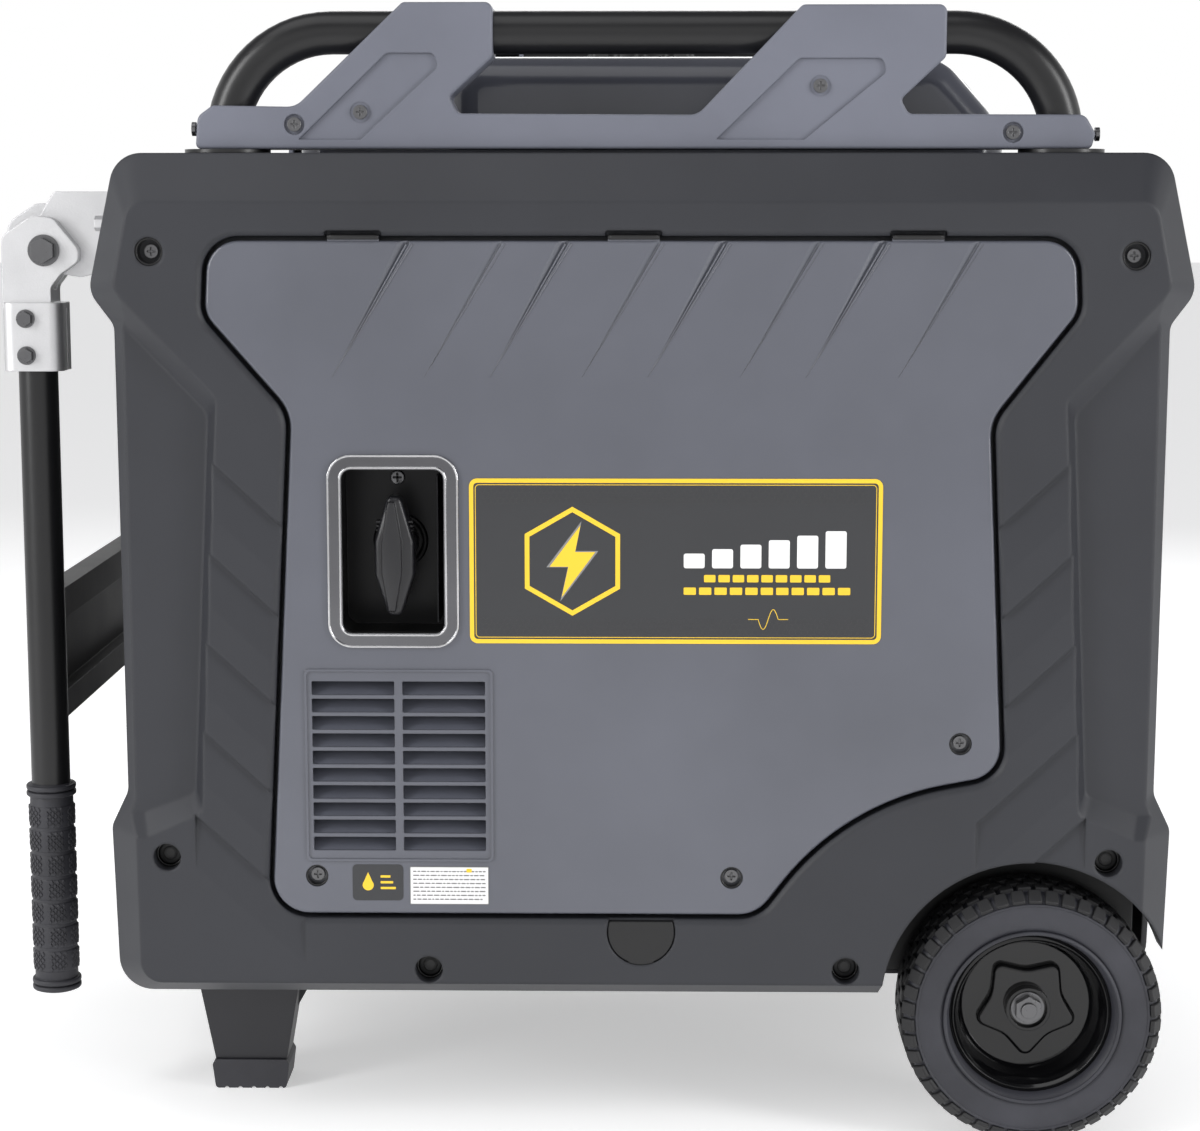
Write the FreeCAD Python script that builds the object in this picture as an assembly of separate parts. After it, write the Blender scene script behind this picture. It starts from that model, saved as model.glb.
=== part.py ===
import FreeCAD, Part
import math
import os
from FreeCAD import Vector

# Portable generator. Millimetres, +Z up, +X from the pull handle end to the wheel end, +Y to the right side.
# Shapes are drawn about the middle of the body, and every node is moved by BODY_SHIFT when it is written,
# which puts the origin on the floor under the middle of the whole object, handle included.

BODY_SHIFT = 38.75       # along X
SIDE = 310.0             # outer face of a side frame
RIM_INNER = 262.0        # inner edge of a side frame's rim
RIM_OUTER = 286.0        # where the rim's bevel starts
FLOOR_GAP = 113.0        # underside of the body
BODY_TOP = 752.0
DECK_TOP = 750.5
SHELL_Y = 261.0          # end shells and deck reach this far to each side
WAIST_Y = 297.0          # level of the recessed side columns
DOOR_FACE = 307.5
DOOR_BACK = 293.0
ARCH_X, ARCH_Z, ARCH_R = 296.0, 110.0, 112.0
WHEEL_X, WHEEL_R = 300.0, 100.0
WHEEL_OUTER, WHEEL_INNER = 308.0, 246.0
AXLE_R = 10.0
GUARD_Y, GUARD_R, GUARD_TOP, GUARD_BEND = 253.0, 16.0, 841.0, 80.0
GUARD_LEFT, GUARD_RIGHT = -310.0, 314.0
GUARD_WALL = 2.5
TANK_LEFT, TANK_RIGHT, TANK_Y, TANK_TOP, TANK_WALL = -150.0, 278.0, 186.0, 828.0, 1.6
HUB_FACE = 281.0         # outer end of a wheel's hub, along Y
HANDLE_X, HANDLE_Y, HANDLE_R = -464.0, 227.0, 15.0
PIVOT_X, PIVOT_Z = -453.4, 679.6
CRANK_X, CRANK_Z = -40.0, 330.0
EXHAUST_Y, EXHAUST_Z, EXHAUST_R = 60.0, 560.0, 21.0
CONTROL_Z, BREAKER_Z, OUTLET_Z = 575.0, 530.0, 475.0
IGNITION_Y, START_Y, ECONOMY_Y = -130.0, -85.0, -40.0
PIVOT_R, BOLT_R = 5.0, 3.0
RECOIL_X, RECOIL_Z = -184.0, 458.0
PANEL_FACE = -384.5      # front face of the control panel, along X
RUN = 0.05               # radial clearance of a turning fit

# Outlines are (x, z, corner radius) lists, clockwise or not; half outlines are mirrored to the other end.
HALF_RIM = [(-388.5, BODY_TOP, 24), (-411, 650, 20), (-392.5, 625, 14),
            (-391, 270, 16), (-404, 243, 14), (-400.5, FLOOR_GAP, 26)]
HALF_PLATEAU = [(-376, 716, 14), (-388.5, 655, 12), (-374, 632, 10),
                (-374, 262, 12), (-381, 240, 12), (-379.5, 126, 16)]
WAIST_TOP = [(-470, 650, 0), (-385, 650, 0), (-313, 574, 16), (-330, 257, 10), (-372, 238, 0), (-470, 238, 0)]
WAIST_FLOOR = [(-470, 622, 0), (-381, 622, 0), (-322, 560, 14), (-337, 271, 8), (-377, 256, 0),
               (-470, 256, 0)]
DOOR = [(-318, 688, 24), (-321, 634, 22), (-258.5, 562, 34), (-279, 180, 27), (89, 180, 28),
        (154.6, 267, 200), (272, 289, 25), (258.5, 556, 34), (321, 636, 22), (318, 688, 24)]
# Side frame screws are (x, z, depth of the well).
FRAME_SCREWS = [(-361, 680, 14), (362, 677, 14), (-358, 224, 24), (-160, 137, 24), (157, 137, 24),
                (354, 222, 24)]
DOOR_SCREWS = [(-244.5, 209.5), (70, 209), (241, 313)]
DOOR_TABS = [-211, -5, 203]
RAIL = [(-331, 755, 4), (-329, 779, 8), (-318, 787, 6), (-256, 786, 16), (-176, 862, 5), (-109.5, 862, 6),
        (-109.5, 822, 6), (-142, 793, 4), (-136, 781, 6), (42, 780, 14), (119, 860, 6), (225, 860, 6),
        (225, 822, 6), (192, 791, 4), (198, 780.5, 6), (328, 780, 8), (336, 766, 4), (333, 755, 4)]
RAIL_CHANNELS = [[(-254, 762, 0), (-188, 825, 5), (-153, 825, 5), (-150, 815, 4), (-208, 762, 0)],
                 [(56, 762, 0), (117, 821, 5), (178, 821, 5), (181, 811, 4), (121, 762, 0)]]
RAIL_SCREWS = [(-257, 773), (-208, 782), (132.5, 801), (275, 767)]


def point(axis, a, b, at):
    """A point on the plane across an axis: (y, z) across X, (x, z) across Y, (x, y) across Z."""
    return {"x": Vector(at, a, b), "y": Vector(a, at, b), "z": Vector(a, b, at)}[axis]


def outline(corners, axis="y", at=0.0):
    """Closed wire through (a, b, radius) corners, each rounded by a tangent arc."""
    count = len(corners)
    here = [point(axis, a, b, at) for a, b, radius in corners]
    ends = []
    for i, (a, b, radius) in enumerate(corners):
        back = (here[i - 1] - here[i]).normalize()
        ahead = (here[(i + 1) % count] - here[i]).normalize()
        half = back.getAngle(ahead) / 2
        reach = radius / math.tan(half)
        middle = here[i] + (back + ahead).normalize() * (radius / math.sin(half) - radius)
        ends.append((here[i] + back * reach, middle, here[i] + ahead * reach))
    edges = []
    for i, (start, middle, end) in enumerate(ends):
        if corners[i][2] > 0:
            edges.append(Part.Arc(start, middle, end).toShape())
        edges.append(Part.makeLine(end, ends[(i + 1) % count][0]))
    return Part.Wire(edges)


def extrude(face, axis, length):
    return face.extrude(point(axis, 0, 0, length))


def plate(corners, axis, low, high):
    return extrude(Part.Face(outline(corners, axis, low)), axis, high - low)


def grown(corners, by, low, high):
    """Plate across Y whose outline is moved outwards by a distance."""
    return extrude(Part.Face(outline(corners, "y", low).makeOffset2D(by)), "y", high - low)


def box(x0, x1, y0, y1, z0, z1):
    return Part.makeBox(x1 - x0, y1 - y0, z1 - z0, Vector(x0, y0, z0))


def pad(axis, a0, a1, b0, b1, low, high, radius):
    return plate([(a0, b0, radius), (a1, b0, radius), (a1, b1, radius), (a0, b1, radius)], axis, low, high)


def rod(axis, a, b, low, high, radius):
    return Part.makeCylinder(radius, high - low, point(axis, a, b, low), point(axis, 0, 0, 1))


def ring(axis, a, b, low, high, outer, inner):
    return rod(axis, a, b, low, high, outer).cut(rod(axis, a, b, low - 1, high + 1, inner))


def hexagon(axis, a, b, low, high, flats):
    reach = flats / math.sqrt(3)
    turns = [math.radians(60 * k + 30) for k in range(6)]
    return plate([(a + reach * math.cos(t), b + reach * math.sin(t), 0) for t in turns], axis, low, high)


def revolved(profile, x, z):
    """Solid of revolution about a line along Y through (x, z), from (radius, y) corners."""
    points = [Vector(x + radius, y, z) for radius, y in profile]
    face = Part.Face(Part.makePolygon(points + [points[0]]))
    return face.revolve(Vector(x, 0, z), Vector(0, 1, 0), 360)


def both_ends(half):
    return half + [(-x, z, radius) for x, z, radius in reversed(half)]


def twin(shape):
    """The same piece on the other side of the object."""
    return shape.mirror(Vector(0, 0, 0), Vector(0, 1, 0))


def other_end(shape):
    return shape.mirror(Vector(0, 0, 0), Vector(1, 0, 0))


def joined(shapes):
    return shapes[0].multiFuse(shapes[1:]).removeSplitter() if len(shapes) > 1 else shapes[0]


def without(shape, tools):
    return shape.cut(Part.makeCompound(tools))


def rounded(shape, radius, chosen):
    return shape.makeFillet(radius, [edge for edge in shape.Edges if chosen(edge)])


def pan_screw(axis, a, b, seat, outwards, shank=10.0):
    """Cross-recess screw whose head stands outwards (+1 or -1) of its seat."""
    head = rod(axis, a, b, min(seat, seat + 3 * outwards), max(seat, seat + 3 * outwards), 5.2)
    end = seat + 3 * outwards
    slot = (min(end, end - 1.6 * outwards), max(end, end - 1.6 * outwards))
    cross = [pad(axis, a - 3, a + 3, b - 0.6, b + 0.6, slot[0], slot[1], 0.3),
             pad(axis, a - 0.6, a + 0.6, b - 3, b + 3, slot[0], slot[1], 0.3)]
    body = rod(axis, a, b, min(seat, seat - shank * outwards), max(seat, seat - shank * outwards), 2.9)
    return without(head, cross).fuse(body).removeSplitter()


def rib_steps():
    """Slanted wedge cuts that leave five overlapping ribs beside the door."""
    pitch, rise, step, slope, run = 71.0, 31.0, 3.6, 0.93, 82.0
    left = -336.0
    cuts = []
    for k in range(5):
        low = 572.0 - pitch * k - rise
        high = low - (pitch - rise)
        section = [(-SIDE - 2, low), (-SIDE + step, low), (-SIDE, high), (-SIDE - 2, high)]
        corners = [Vector(left, y, z) for y, z in section]
        face = Part.Face(Part.makePolygon(corners + [corners[0]]))
        cuts.append(face.extrude(Vector(run, 0, -slope * run)))
    return cuts


def side_frame():
    """Left side frame: bevelled rim, recessed columns, door rebate, wheel arch and screw wells."""
    rim, plateau = both_ends(HALF_RIM), both_ends(HALF_PLATEAU)
    front = Part.makeLoft([outline(rim, "y", -RIM_OUTER), outline(plateau, "y", -SIDE)], True, True)
    body = joined([plate(rim, "y", -RIM_OUTER, -RIM_INNER), front])
    waist_outlines = [outline(WAIST_TOP, "y", -SIDE - 1), outline(WAIST_FLOOR, "y", -WAIST_Y)]
    waist = Part.makeLoft(waist_outlines, True, True)
    cuts = [waist, other_end(waist)]
    cuts += rib_steps() + [other_end(cut) for cut in rib_steps()]
    cuts.append(rod("y", ARCH_X, ARCH_Z, -SIDE - 2, -RIM_INNER + 2, ARCH_R))
    door_gap, rebate, web = 3.5, -14.0, -8.0
    cuts.append(grown(DOOR, door_gap, -SIDE - 1, -DOOR_BACK + 1))
    lip = [outline(DOOR, "y", -SIDE - 0.5).makeOffset2D(door_gap + 3.5),
           outline(DOOR, "y", -SIDE + 3).makeOffset2D(door_gap)]
    cuts.append(Part.makeLoft(lip, True, True))
    cuts.append(grown(DOOR, rebate, -DOOR_BACK - 1, -RIM_INNER + 1))
    cuts += [pad("y", x - 21, x + 21, 688, 695.5, -SIDE - 1, -SIDE + 9, 2) for x in DOOR_TABS]
    cuts += [rod("y", x, z, -SIDE - 1, -SIDE + depth, 10.5) for x, z, depth in FRAME_SCREWS]
    cuts += [rod("y", x, z, -SIDE, -RIM_INNER, 3.0) for x, z, depth in FRAME_SCREWS]
    cuts.append(rod("y", 1.5, 167, -SIDE - 1, -SIDE + 6, 26))
    hollow = grown(rim, -7, -RIM_OUTER + 3, -RIM_INNER + 1)
    hollow = hollow.cut(rod("y", ARCH_X, ARCH_Z, -SIDE, -RIM_INNER + 2, ARCH_R + 7))
    hollow = hollow.cut(grown(DOOR, web, -SIDE, -RIM_INNER + 2))
    cuts.append(hollow)
    return without(body, cuts)


def door_blank(openings):
    """Door shell with slash grooves and screw wells; the openings are cut before its hollow back is fixed."""
    skin, wall = 3.5, 4.0
    shell = plate(DOOR, "y", -DOOR_FACE, -DOOR_BACK)
    shell = rounded(shell, 2.5, lambda edge: edge.BoundBox.YMax < -DOOR_FACE + 0.01)
    tabs = [pad("y", x - 19, x + 19, 684, 692, -DOOR_FACE + 1, -DOOR_FACE + 5, 1) for x in DOOR_TABS]
    hollow = grown(DOOR, -wall, -DOOR_FACE + skin, -DOOR_BACK + 1)
    bosses = [rod("y", x, z, -SIDE, -DOOR_BACK + 2, 12) for x, z in DOOR_SCREWS]
    surrounds = [pad("y", a0 - 3, a1 + 3, b0 - 3, b1 + 3, -SIDE, -DOOR_BACK + 2, radius + 3)
                 for a0, a1, b0, b1, radius in openings]
    hollow = without(hollow, bosses + surrounds)
    cuts = [hollow] + slash_grooves()
    cuts += [rod("y", x, z, -SIDE, -DOOR_FACE + 8, 8.5) for x, z in DOOR_SCREWS]
    cuts += [rod("y", x, z, -SIDE, -DOOR_BACK + 1, 3.0) for x, z in DOOR_SCREWS]
    cuts += [pad("y", a0, a1, b0, b1, -SIDE, -DOOR_BACK + 2, radius) for a0, a1, b0, b1, radius in openings]
    return without(joined([shell] + tabs), cuts)


def slash_grooves():
    """Four sharp and four soft tapering grooves that run down and left from the door's top edge."""
    grooves = []
    for k in range(4):
        for top, width, depth in ((-167 + 116.5 * k, 10.0, 3.2), (-99 + 116.5 * k, 8.0, 1.4)):
            tip = Vector(top - 59, -DOOR_FACE - 0.2, 590)
            rim = [Vector(top - width, -DOOR_FACE - 0.2, 690), Vector(top, -DOOR_FACE - 0.2, 690),
                   Vector(top - 1.5, -DOOR_FACE + depth, 690)]
            faces = [Part.makePolygon([rim[0], rim[1], rim[2], rim[0]])]
            faces += [Part.makePolygon([rim[i], rim[(i + 1) % 3], tip, rim[i]]) for i in range(3)]
            grooves.append(Part.Solid(Part.Shell([Part.Face(wire) for wire in faces])))
    return grooves


def grille(left, right, low, high, columns, rows):
    """Slots to cut and slanted blades to add, inside a door's frame."""
    bar, gap = 6.0, (high - low) / rows
    width = (right - left - bar * (columns - 1)) / columns
    slots, blades = [], []
    for i in range(columns):
        x0 = left + i * (width + bar)
        for j in range(rows):
            z0 = low + j * gap
            slots.append(pad("y", x0, x0 + width, z0 + 1.4, z0 + gap - 1.4, -SIDE, -DOOR_BACK + 2, 1.0))
        for j in range(rows + 1):
            z0 = low + j * gap
            section = [(-DOOR_FACE + 2.5, z0 - 1.2, 0), (-DOOR_FACE + 2.5, z0 + 1.2, 0),
                       (-DOOR_BACK - 1, z0 + 10.5, 0), (-DOOR_BACK - 1, z0 + 8.5, 0)]
            blades.append(plate(section, "x", x0 - 2, x0 + width + 2))
    return slots, blades


def service_door():
    """Left door with the recoil opening and a two-column louvred grille."""
    grille_box = (-252.0, -110.0, 221.0, 369.0)
    recoil = (-229.5, -138.5, 389.5, 526.5, 14.0)
    slots, blades = grille(-246.5, -116.0, 228.0, 361.0, 2, 10)
    blank = door_blank([recoil])
    frame = pad("y", grille_box[0], grille_box[1], grille_box[2], grille_box[3],
                -DOOR_FACE - 1.2, -DOOR_FACE + 3.5, 4)
    frame = frame.cut(pad("y", grille_box[0] + 2, grille_box[1] - 2, grille_box[2] + 2, grille_box[3] - 2,
                          -SIDE, -DOOR_FACE, 3))
    return without(joined([blank, frame]), slots).multiFuse(blades).removeSplitter()


def right_side_cover():
    """The twin door on the far side, with a wide cooling grille and no recoil opening."""
    slots, blades = grille(-240.0, 240.0, 340.0, 540.0, 4, 15)
    return twin(without(door_blank([]), slots).multiFuse(blades).removeSplitter())


def end_ring():
    """The wrap between the two side frames: one rim outline inside another."""
    rim = both_ends(HALF_RIM)
    return grown(rim, -1.5, -SHELL_Y, SHELL_Y).cut(grown(rim, -6, -SHELL_Y - 1, SHELL_Y + 1))


def front_shell():
    shell = end_ring().common(box(-420, -352, -SHELL_Y, SHELL_Y, 122, 760))
    cuts = [pad("x", -165, 165, 430, 615, -420, -370, 10)]
    cuts += [pad("x", y - 46, y + 46, z, z + 7, -420, -370, 3)
             for y in (-110, 0, 110) for z in (150, 166, 182, 198, 214, 290, 306)]
    return without(shell, cuts)


def rear_shell():
    shell = end_ring().common(box(352, 420, -SHELL_Y, SHELL_Y, 122, 760))
    arch = rod("y", ARCH_X, ARCH_Z, -SHELL_Y - 2, -234, ARCH_R + 7)
    cuts = [arch, twin(arch), rod("x", EXHAUST_Y, EXHAUST_Z, 340, 420, 34)]
    cuts += [pad("x", y - 46, y + 46, z, z + 8, 370, 420, 3)
             for y in (-110, 0, 110) for z in (300, 318, 336, 354, 372, 390)]
    return without(shell, cuts)


def top_deck():
    deck = box(-351.5, 351.5, -SHELL_Y, SHELL_Y, DECK_TOP - 5, DECK_TOP)
    ribs = [box(-351.5, 351.5, y - 3, y + 3, DECK_TOP - 20, DECK_TOP - 4) for y in (-215, 215)]
    return joined([deck] + ribs)


def tank_body(inset):
    """Tank's rounded body, or with an inset the space inside it; its wheel end slopes back."""
    base = DECK_TOP + 5 + inset
    profile = [(TANK_LEFT + inset, base, 0), (TANK_LEFT + inset, TANK_TOP - inset, 30),
               (TANK_RIGHT - 44 - inset, TANK_TOP - inset, 34), (TANK_RIGHT - 3 - inset, 782, 30),
               (TANK_RIGHT - inset, base, 0)]
    side = TANK_Y - inset
    body = plate(profile, "y", -side, side)
    return rounded(body, 24 - inset,
                   lambda edge: edge.BoundBox.YLength < 0.01 and edge.BoundBox.ZMax > base + 1)


def fuel_tank():
    """Tank on the deck: a wide thin flange, a hollow rounded body and a filler neck."""
    rim = DECK_TOP + 7
    flange = pad("z", -266, 282, -192, 192, DECK_TOP, rim, 30)
    underside = pad("z", -264, 280, -190, 190, DECK_TOP - 1, rim - TANK_WALL, 28)
    neck = ring("z", 0, 0, TANK_TOP - 2, 838, 38, 30)
    mouth = rod("z", 0, 0, 800, 840, 30)
    skin = joined([flange.cut(underside), tank_body(0), neck])
    return without(skin, [tank_body(TANK_WALL).common(box(-300, 300, -200, 200, rim, TANK_TOP)), mouth])


def fuel_cap():
    """Screw cap with a skirt round the neck and finger lobes."""
    top = rod("z", 0, 0, 839, 856, 45)
    skirt = ring("z", 0, 0, 829, 840, 45, 38 + 8 * RUN)
    lobes = [rod("z", 49 * math.cos(t), 49 * math.sin(t), 828, 858, 7)
             for t in (math.radians(30 * k) for k in range(12))]
    return without(joined([top, skirt]), lobes)


def guard_tube():
    """Left guard tube: a bent tube on two welded discs that stand on the side frame."""
    bore = GUARD_R - GUARD_WALL
    tube = [outer.cut(inner) for outer, inner in zip(bar_pieces(GUARD_R), bar_pieces(bore))]
    discs = [ring("z", x, -GUARD_Y, BODY_TOP, BODY_TOP + 3, 32, GUARD_R - 1)
             for x in (GUARD_LEFT, GUARD_RIGHT)]
    return joined(tube + discs)


def rail_cover():
    """Left rail cover: a hollow moulding with two slanted braces that clasp the guard tube."""
    front, back, wall = -274.0, -234.0, 4.0
    shell = plate(RAIL, "y", front, back)
    shell = rounded(shell, 2.2, lambda edge: edge.BoundBox.YMax < front + 0.01)
    cuts = [grown(RAIL, -wall, front + wall, back + 1), bent_bar(GUARD_R + 0.2)]
    cuts += [plate(channel, "y", front - 1, front + 2.2) for channel in RAIL_CHANNELS]
    cuts += [rod("y", x, z, front - 1, front + 2.5, 7.5) for x, z in RAIL_SCREWS]
    cuts += [rod("y", x, z, front - 1, front + wall + 1, 3.0) for x, z in RAIL_SCREWS]
    return without(shell, cuts)


def bar_pieces(radius):
    """Solids along a guard tube: two posts, the long top and two quarter bends."""
    bend_z = GUARD_TOP - GUARD_BEND
    first, last = GUARD_LEFT + GUARD_BEND, GUARD_RIGHT - GUARD_BEND
    pieces = [rod("z", x, -GUARD_Y, BODY_TOP, bend_z, radius) for x in (GUARD_LEFT, GUARD_RIGHT)]
    pieces.append(rod("x", -GUARD_Y, GUARD_TOP, first, last, radius))
    for post, centre, turn in ((GUARD_LEFT, first, 1), (GUARD_RIGHT, last, -1)):
        circle = Part.makeCircle(radius, Vector(post, -GUARD_Y, bend_z), Vector(0, 0, 1))
        section = Part.Face(Part.Wire(circle))
        pieces.append(section.revolve(Vector(centre, 0, bend_z), Vector(0, turn, 0), 90))
    return pieces


def bent_bar(radius):
    return joined(bar_pieces(radius))


def rail_screws():
    screws = [pan_screw("y", x, z, -271.5, -1, 6) for x, z in RAIL_SCREWS]
    screws.append(pan_screw("x", -GUARD_Y - 8, 770, -332, -1, 0.5))
    screws.append(pan_screw("x", -GUARD_Y - 8, 766, 337.5, 1, 0.5))
    return screws


def base_tray():
    """Steel pan with upturned edges, cut away at the wheels."""
    pan = box(-384, 384, -SHELL_Y, SHELL_Y, FLOOR_GAP - 1, FLOOR_GAP + 24)
    hollow = box(-381, 381, -SHELL_Y + 3, SHELL_Y - 3, FLOOR_GAP + 2, FLOOR_GAP + 30)
    corner = box(172, 400, -SHELL_Y - 2, -233, 100, 160)
    vents = [pad("z", x, x + 60, y, y + 12, 100, 130, 5) for x in (-60, 40) for y in (-120, -60, 0, 60, 120)]
    return without(pan, [hollow, corner, twin(corner)] + vents)


def front_leg():
    corners = [(-362, FLOOR_GAP - 1, 0), (-345, 24, 0), (-287, 24, 0), (-272, FLOOR_GAP - 1, 0)]
    leg = plate(corners, "y", -188, -150)
    gusset = plate([(-274, FLOOR_GAP - 1, 0), (-281, 60, 0), (-262, 94, 0), (-258, FLOOR_GAP - 1, 0)],
                   "y", -162, -158)
    return joined([leg, gusset])


def foot_pad():
    """Ribbed rubber foot, wider than the leg that stands on it."""
    corners = [(-345, 0, 3), (-347.5, 20, 2), (-345, 24, 1), (-287, 24, 1), (-285, 20, 2), (-287.5, 0, 3)]
    foot = plate(corners, "y", -191, -147)
    grooves = [rod("y", -336 + 11 * k, -0.4, -192, -146, 1.8) for k in range(5)]
    return without(foot, grooves)


def axle_brackets():
    corners = [(268, FLOOR_GAP - 1, 0), (280, 84, 10), (320, 84, 10), (332, FLOOR_GAP - 1, 0)]
    bracket = plate(corners, "y", -228, -222).cut(rod("y", WHEEL_X, WHEEL_R, -230, -220, AXLE_R))
    return [bracket, twin(bracket)]


def axle():
    stub = HUB_FACE + 10
    return joined([rod("y", WHEEL_X, WHEEL_R, -HUB_FACE, HUB_FACE, AXLE_R),
                   rod("y", WHEEL_X, WHEEL_R, -stub, stub, 6)])


def axle_nut():
    """Washer and hexagon nut as one flanged nut, inside the hub's cup."""
    seat = -HUB_FACE
    nut = joined([rod("y", WHEEL_X, WHEEL_R, seat - 2, seat, 13),
                  hexagon("y", WHEEL_X, WHEEL_R, seat - 8, seat - 2, 19)])
    return nut.cut(rod("y", WHEEL_X, WHEEL_R, seat - 9, seat + 1, 6))


def tyre():
    half = [(62, -295), (68, -301), (80, -306.5), (88, WHEEL_OUTER * -1), (95, -303), (99, -296), (100, -288)]
    middle = -(WHEEL_OUTER + WHEEL_INNER) / 2
    other = [(radius, 2 * middle - y) for radius, y in reversed(half)]
    return revolved(half + other, WHEEL_X, WHEEL_R)


def rim():
    """Pressed wheel: lip, conical dish, five-lobed star and a cupped hub with the axle bore."""
    bore, hub, cup, face, back = AXLE_R + RUN, 17.0, 14.5, -270.0, -266.0
    profile = [(bore, -HUB_FACE), (cup, -HUB_FACE), (cup, -HUB_FACE - 5), (hub, -HUB_FACE - 5), (hub, face),
               (49, face), (51.5, face - 3), (54, -286), (57, -294.5), (59, -297), (61.9, -296),
               (61.9, -258), (58, -257), (54, -262), (51, back), (hub, back), (hub, -256), (bore, -256)]
    lobes = []
    for k in range(5):
        peak, dip = math.radians(72 * k - 90), math.radians(72 * k - 54)
        lobes.append((WHEEL_X + 43 * math.cos(peak), WHEEL_R + 43 * math.sin(peak), 7))
        lobes.append((WHEEL_X + 29 * math.cos(dip), WHEEL_R + 29 * math.sin(dip), 22))
    star = plate(lobes, "y", face - 7, back)
    star = rounded(star, 3.5, lambda edge: edge.BoundBox.YMax < face - 6.9)
    star = star.cut(rod("y", WHEEL_X, WHEEL_R, face - 10, back + 1, hub - 1))
    return joined([revolved(profile, WHEEL_X, WHEEL_R), star])


def wheel_house():
    """Liner over a wheel: an arch and its inner wall."""
    shell = rod("y", ARCH_X, ARCH_Z, -SHELL_Y, -236, ARCH_R + 5)
    shell = shell.cut(rod("y", ARCH_X, ARCH_Z, -270, -239, ARCH_R + 2))
    return shell.common(box(170, 387, -270, -230, FLOOR_GAP + 4, 240))


def handle_bracket():
    """Angled base on the front shell's shoulder, with the tongue that holds the pivot."""
    top, low = Vector(-388.5, 0, BODY_TOP), Vector(-411, 0, 650)
    along = (low - top).normalize()
    out = Vector(along.z, 0, -along.x)
    corners = []
    for reach, lift in ((26, -1.5), (26, 5.5), (92, 5.5), (92, -1.5)):
        spot = top + along * reach + out * lift
        corners.append((spot.x, spot.z, 0))
    base = plate(corners, "y", -257, -197)
    tongue = plate([(-398, 724, 0), (-447, 724, 5), (-468, 690, 12), (-458, 664, 10), (-428, 659, 4),
                    (-409, 664, 0)], "y", -232.5, -221.5)
    bolts = [hexagon("x", y, 700, -412, -404, 10) for y in (-250, -204)]
    bracket = joined([base, tongue] + bolts)
    shoulder = grown(both_ends(HALF_RIM), -1.5, -SHELL_Y, SHELL_Y)
    return bracket.cut(shoulder).cut(rod("y", PIVOT_X, PIVOT_Z, -260, -190, PIVOT_R + RUN))


def handle_knuckle():
    """Cast knuckle: two cheeks about the pivot above a clamp that grips the tube."""
    neck = [(-441, 662, 0), (-449, 652, 8), (-449, 638, 0), (-486, 638, 0)]
    cheek = [(-486, 700, 12), (-462, 716, 12), (-444, 712, 10), (-427, 684, 8), (-427, 672, 5)] + neck
    low_cheek = [(-486, 690, 8), (-462, 706, 12), (-446, 704, 10), (-427, 680, 8), (-428, 671, 5)] + neck
    block = [(-486, 636, 0), (-486, 650, 0), (-449, 650, 0), (-449, 636, 0)]
    outer_cheek, inner_cheek = plate(low_cheek, "y", -243, -233), plate(cheek, "y", -221, -211)
    clamp = pad("z", HANDLE_X - 23, HANDLE_X + 23, -HANDLE_Y - 20, -HANDLE_Y + 20, 588, 640, 9)
    slit = box(HANDLE_X + 5, HANDLE_X + 30, -HANDLE_Y - 1.5, -HANDLE_Y + 1.5, 580, 636)
    knuckle = joined([outer_cheek, inner_cheek, plate(block, "y", -243, -211), clamp])
    holes = [rod("y", -468, z, -250, -243, BOLT_R) for z in (600, 628)]
    holes.append(rod("z", HANDLE_X, -HANDLE_Y, 580, 636, HANDLE_R))
    holes.append(rod("y", PIVOT_X, PIVOT_Z, -260, -190, PIVOT_R))
    return without(knuckle, [slit] + holes)


def handle_bolts():
    """Pivot bolt with its nut, and the two clamp bolts."""
    pivot = joined([rod("y", PIVOT_X, PIVOT_Z, -245, -203, PIVOT_R),
                    rod("y", PIVOT_X, PIVOT_Z, -245, -243, 12),
                    hexagon("y", PIVOT_X, PIVOT_Z, -251, -245, 17),
                    hexagon("y", PIVOT_X, PIVOT_Z, -211, -203, 17)])
    clamp = [joined([rod("y", -468, z, -248.5, -247, 7), hexagon("y", -468, z, -252.5, -248.5, 10),
                     rod("y", -468, z, -248, -243.5, BOLT_R)]) for z in (600, 628)]
    return [pivot] + clamp


def handle_tube():
    return ring("z", HANDLE_X, -HANDLE_Y, 100, 635, HANDLE_R, HANDLE_R - 2)


def handle_grip():
    """Rubber sleeve with end flanges and a closed lower end."""
    sleeve = joined([rod("z", HANDLE_X, -HANDLE_Y, low, high, radius)
                     for low, high, radius in ((95, 264, 17.4), (95, 104, 19.3), (255, 264, 19.3))])
    return sleeve.cut(rod("z", HANDLE_X, -HANDLE_Y, 100, 270, HANDLE_R))


def handle_crossbar():
    """Pressed channel between the two tubes: two ribs and the web between them."""
    reach = 222.0
    bar = joined([box(-470, -450, -reach, reach, 393, 417), box(-470, -450, -reach, reach, 315, 336),
                  box(-467, -461, -reach, reach, 330, 400)])
    tubes = rod("z", HANDLE_X, -HANDLE_Y, 300, 430, HANDLE_R)
    return without(bar, [tubes, twin(tubes)])


def recoil_pocket():
    """Five-walled pocket behind the bezel, with the rope hole in its back."""
    pocket = pad("y", -229, -139, 390, 526, -302, -240, 13.5)
    hollow = pad("y", -226, -142, 393, 523, -303, -243, 10.5)
    return without(pocket, [hollow, rod("y", RECOIL_X, RECOIL_Z, -245, -238, 6)])


def recoil_bezel():
    bezel = pad("y", -233, -135, 385.5, 530.5, -SIDE, -DOOR_FACE, 18)
    sleeve = pad("y", -226, -142, 393, 523, -DOOR_FACE - 1, -298, 11)
    frame = joined([bezel, sleeve]).cut(pad("y", -222, -146, 396, 519.5, -SIDE - 1, -290, 10))
    return rounded(frame, 1.2, lambda edge: edge.BoundBox.YMax < -SIDE + 0.01)


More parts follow.
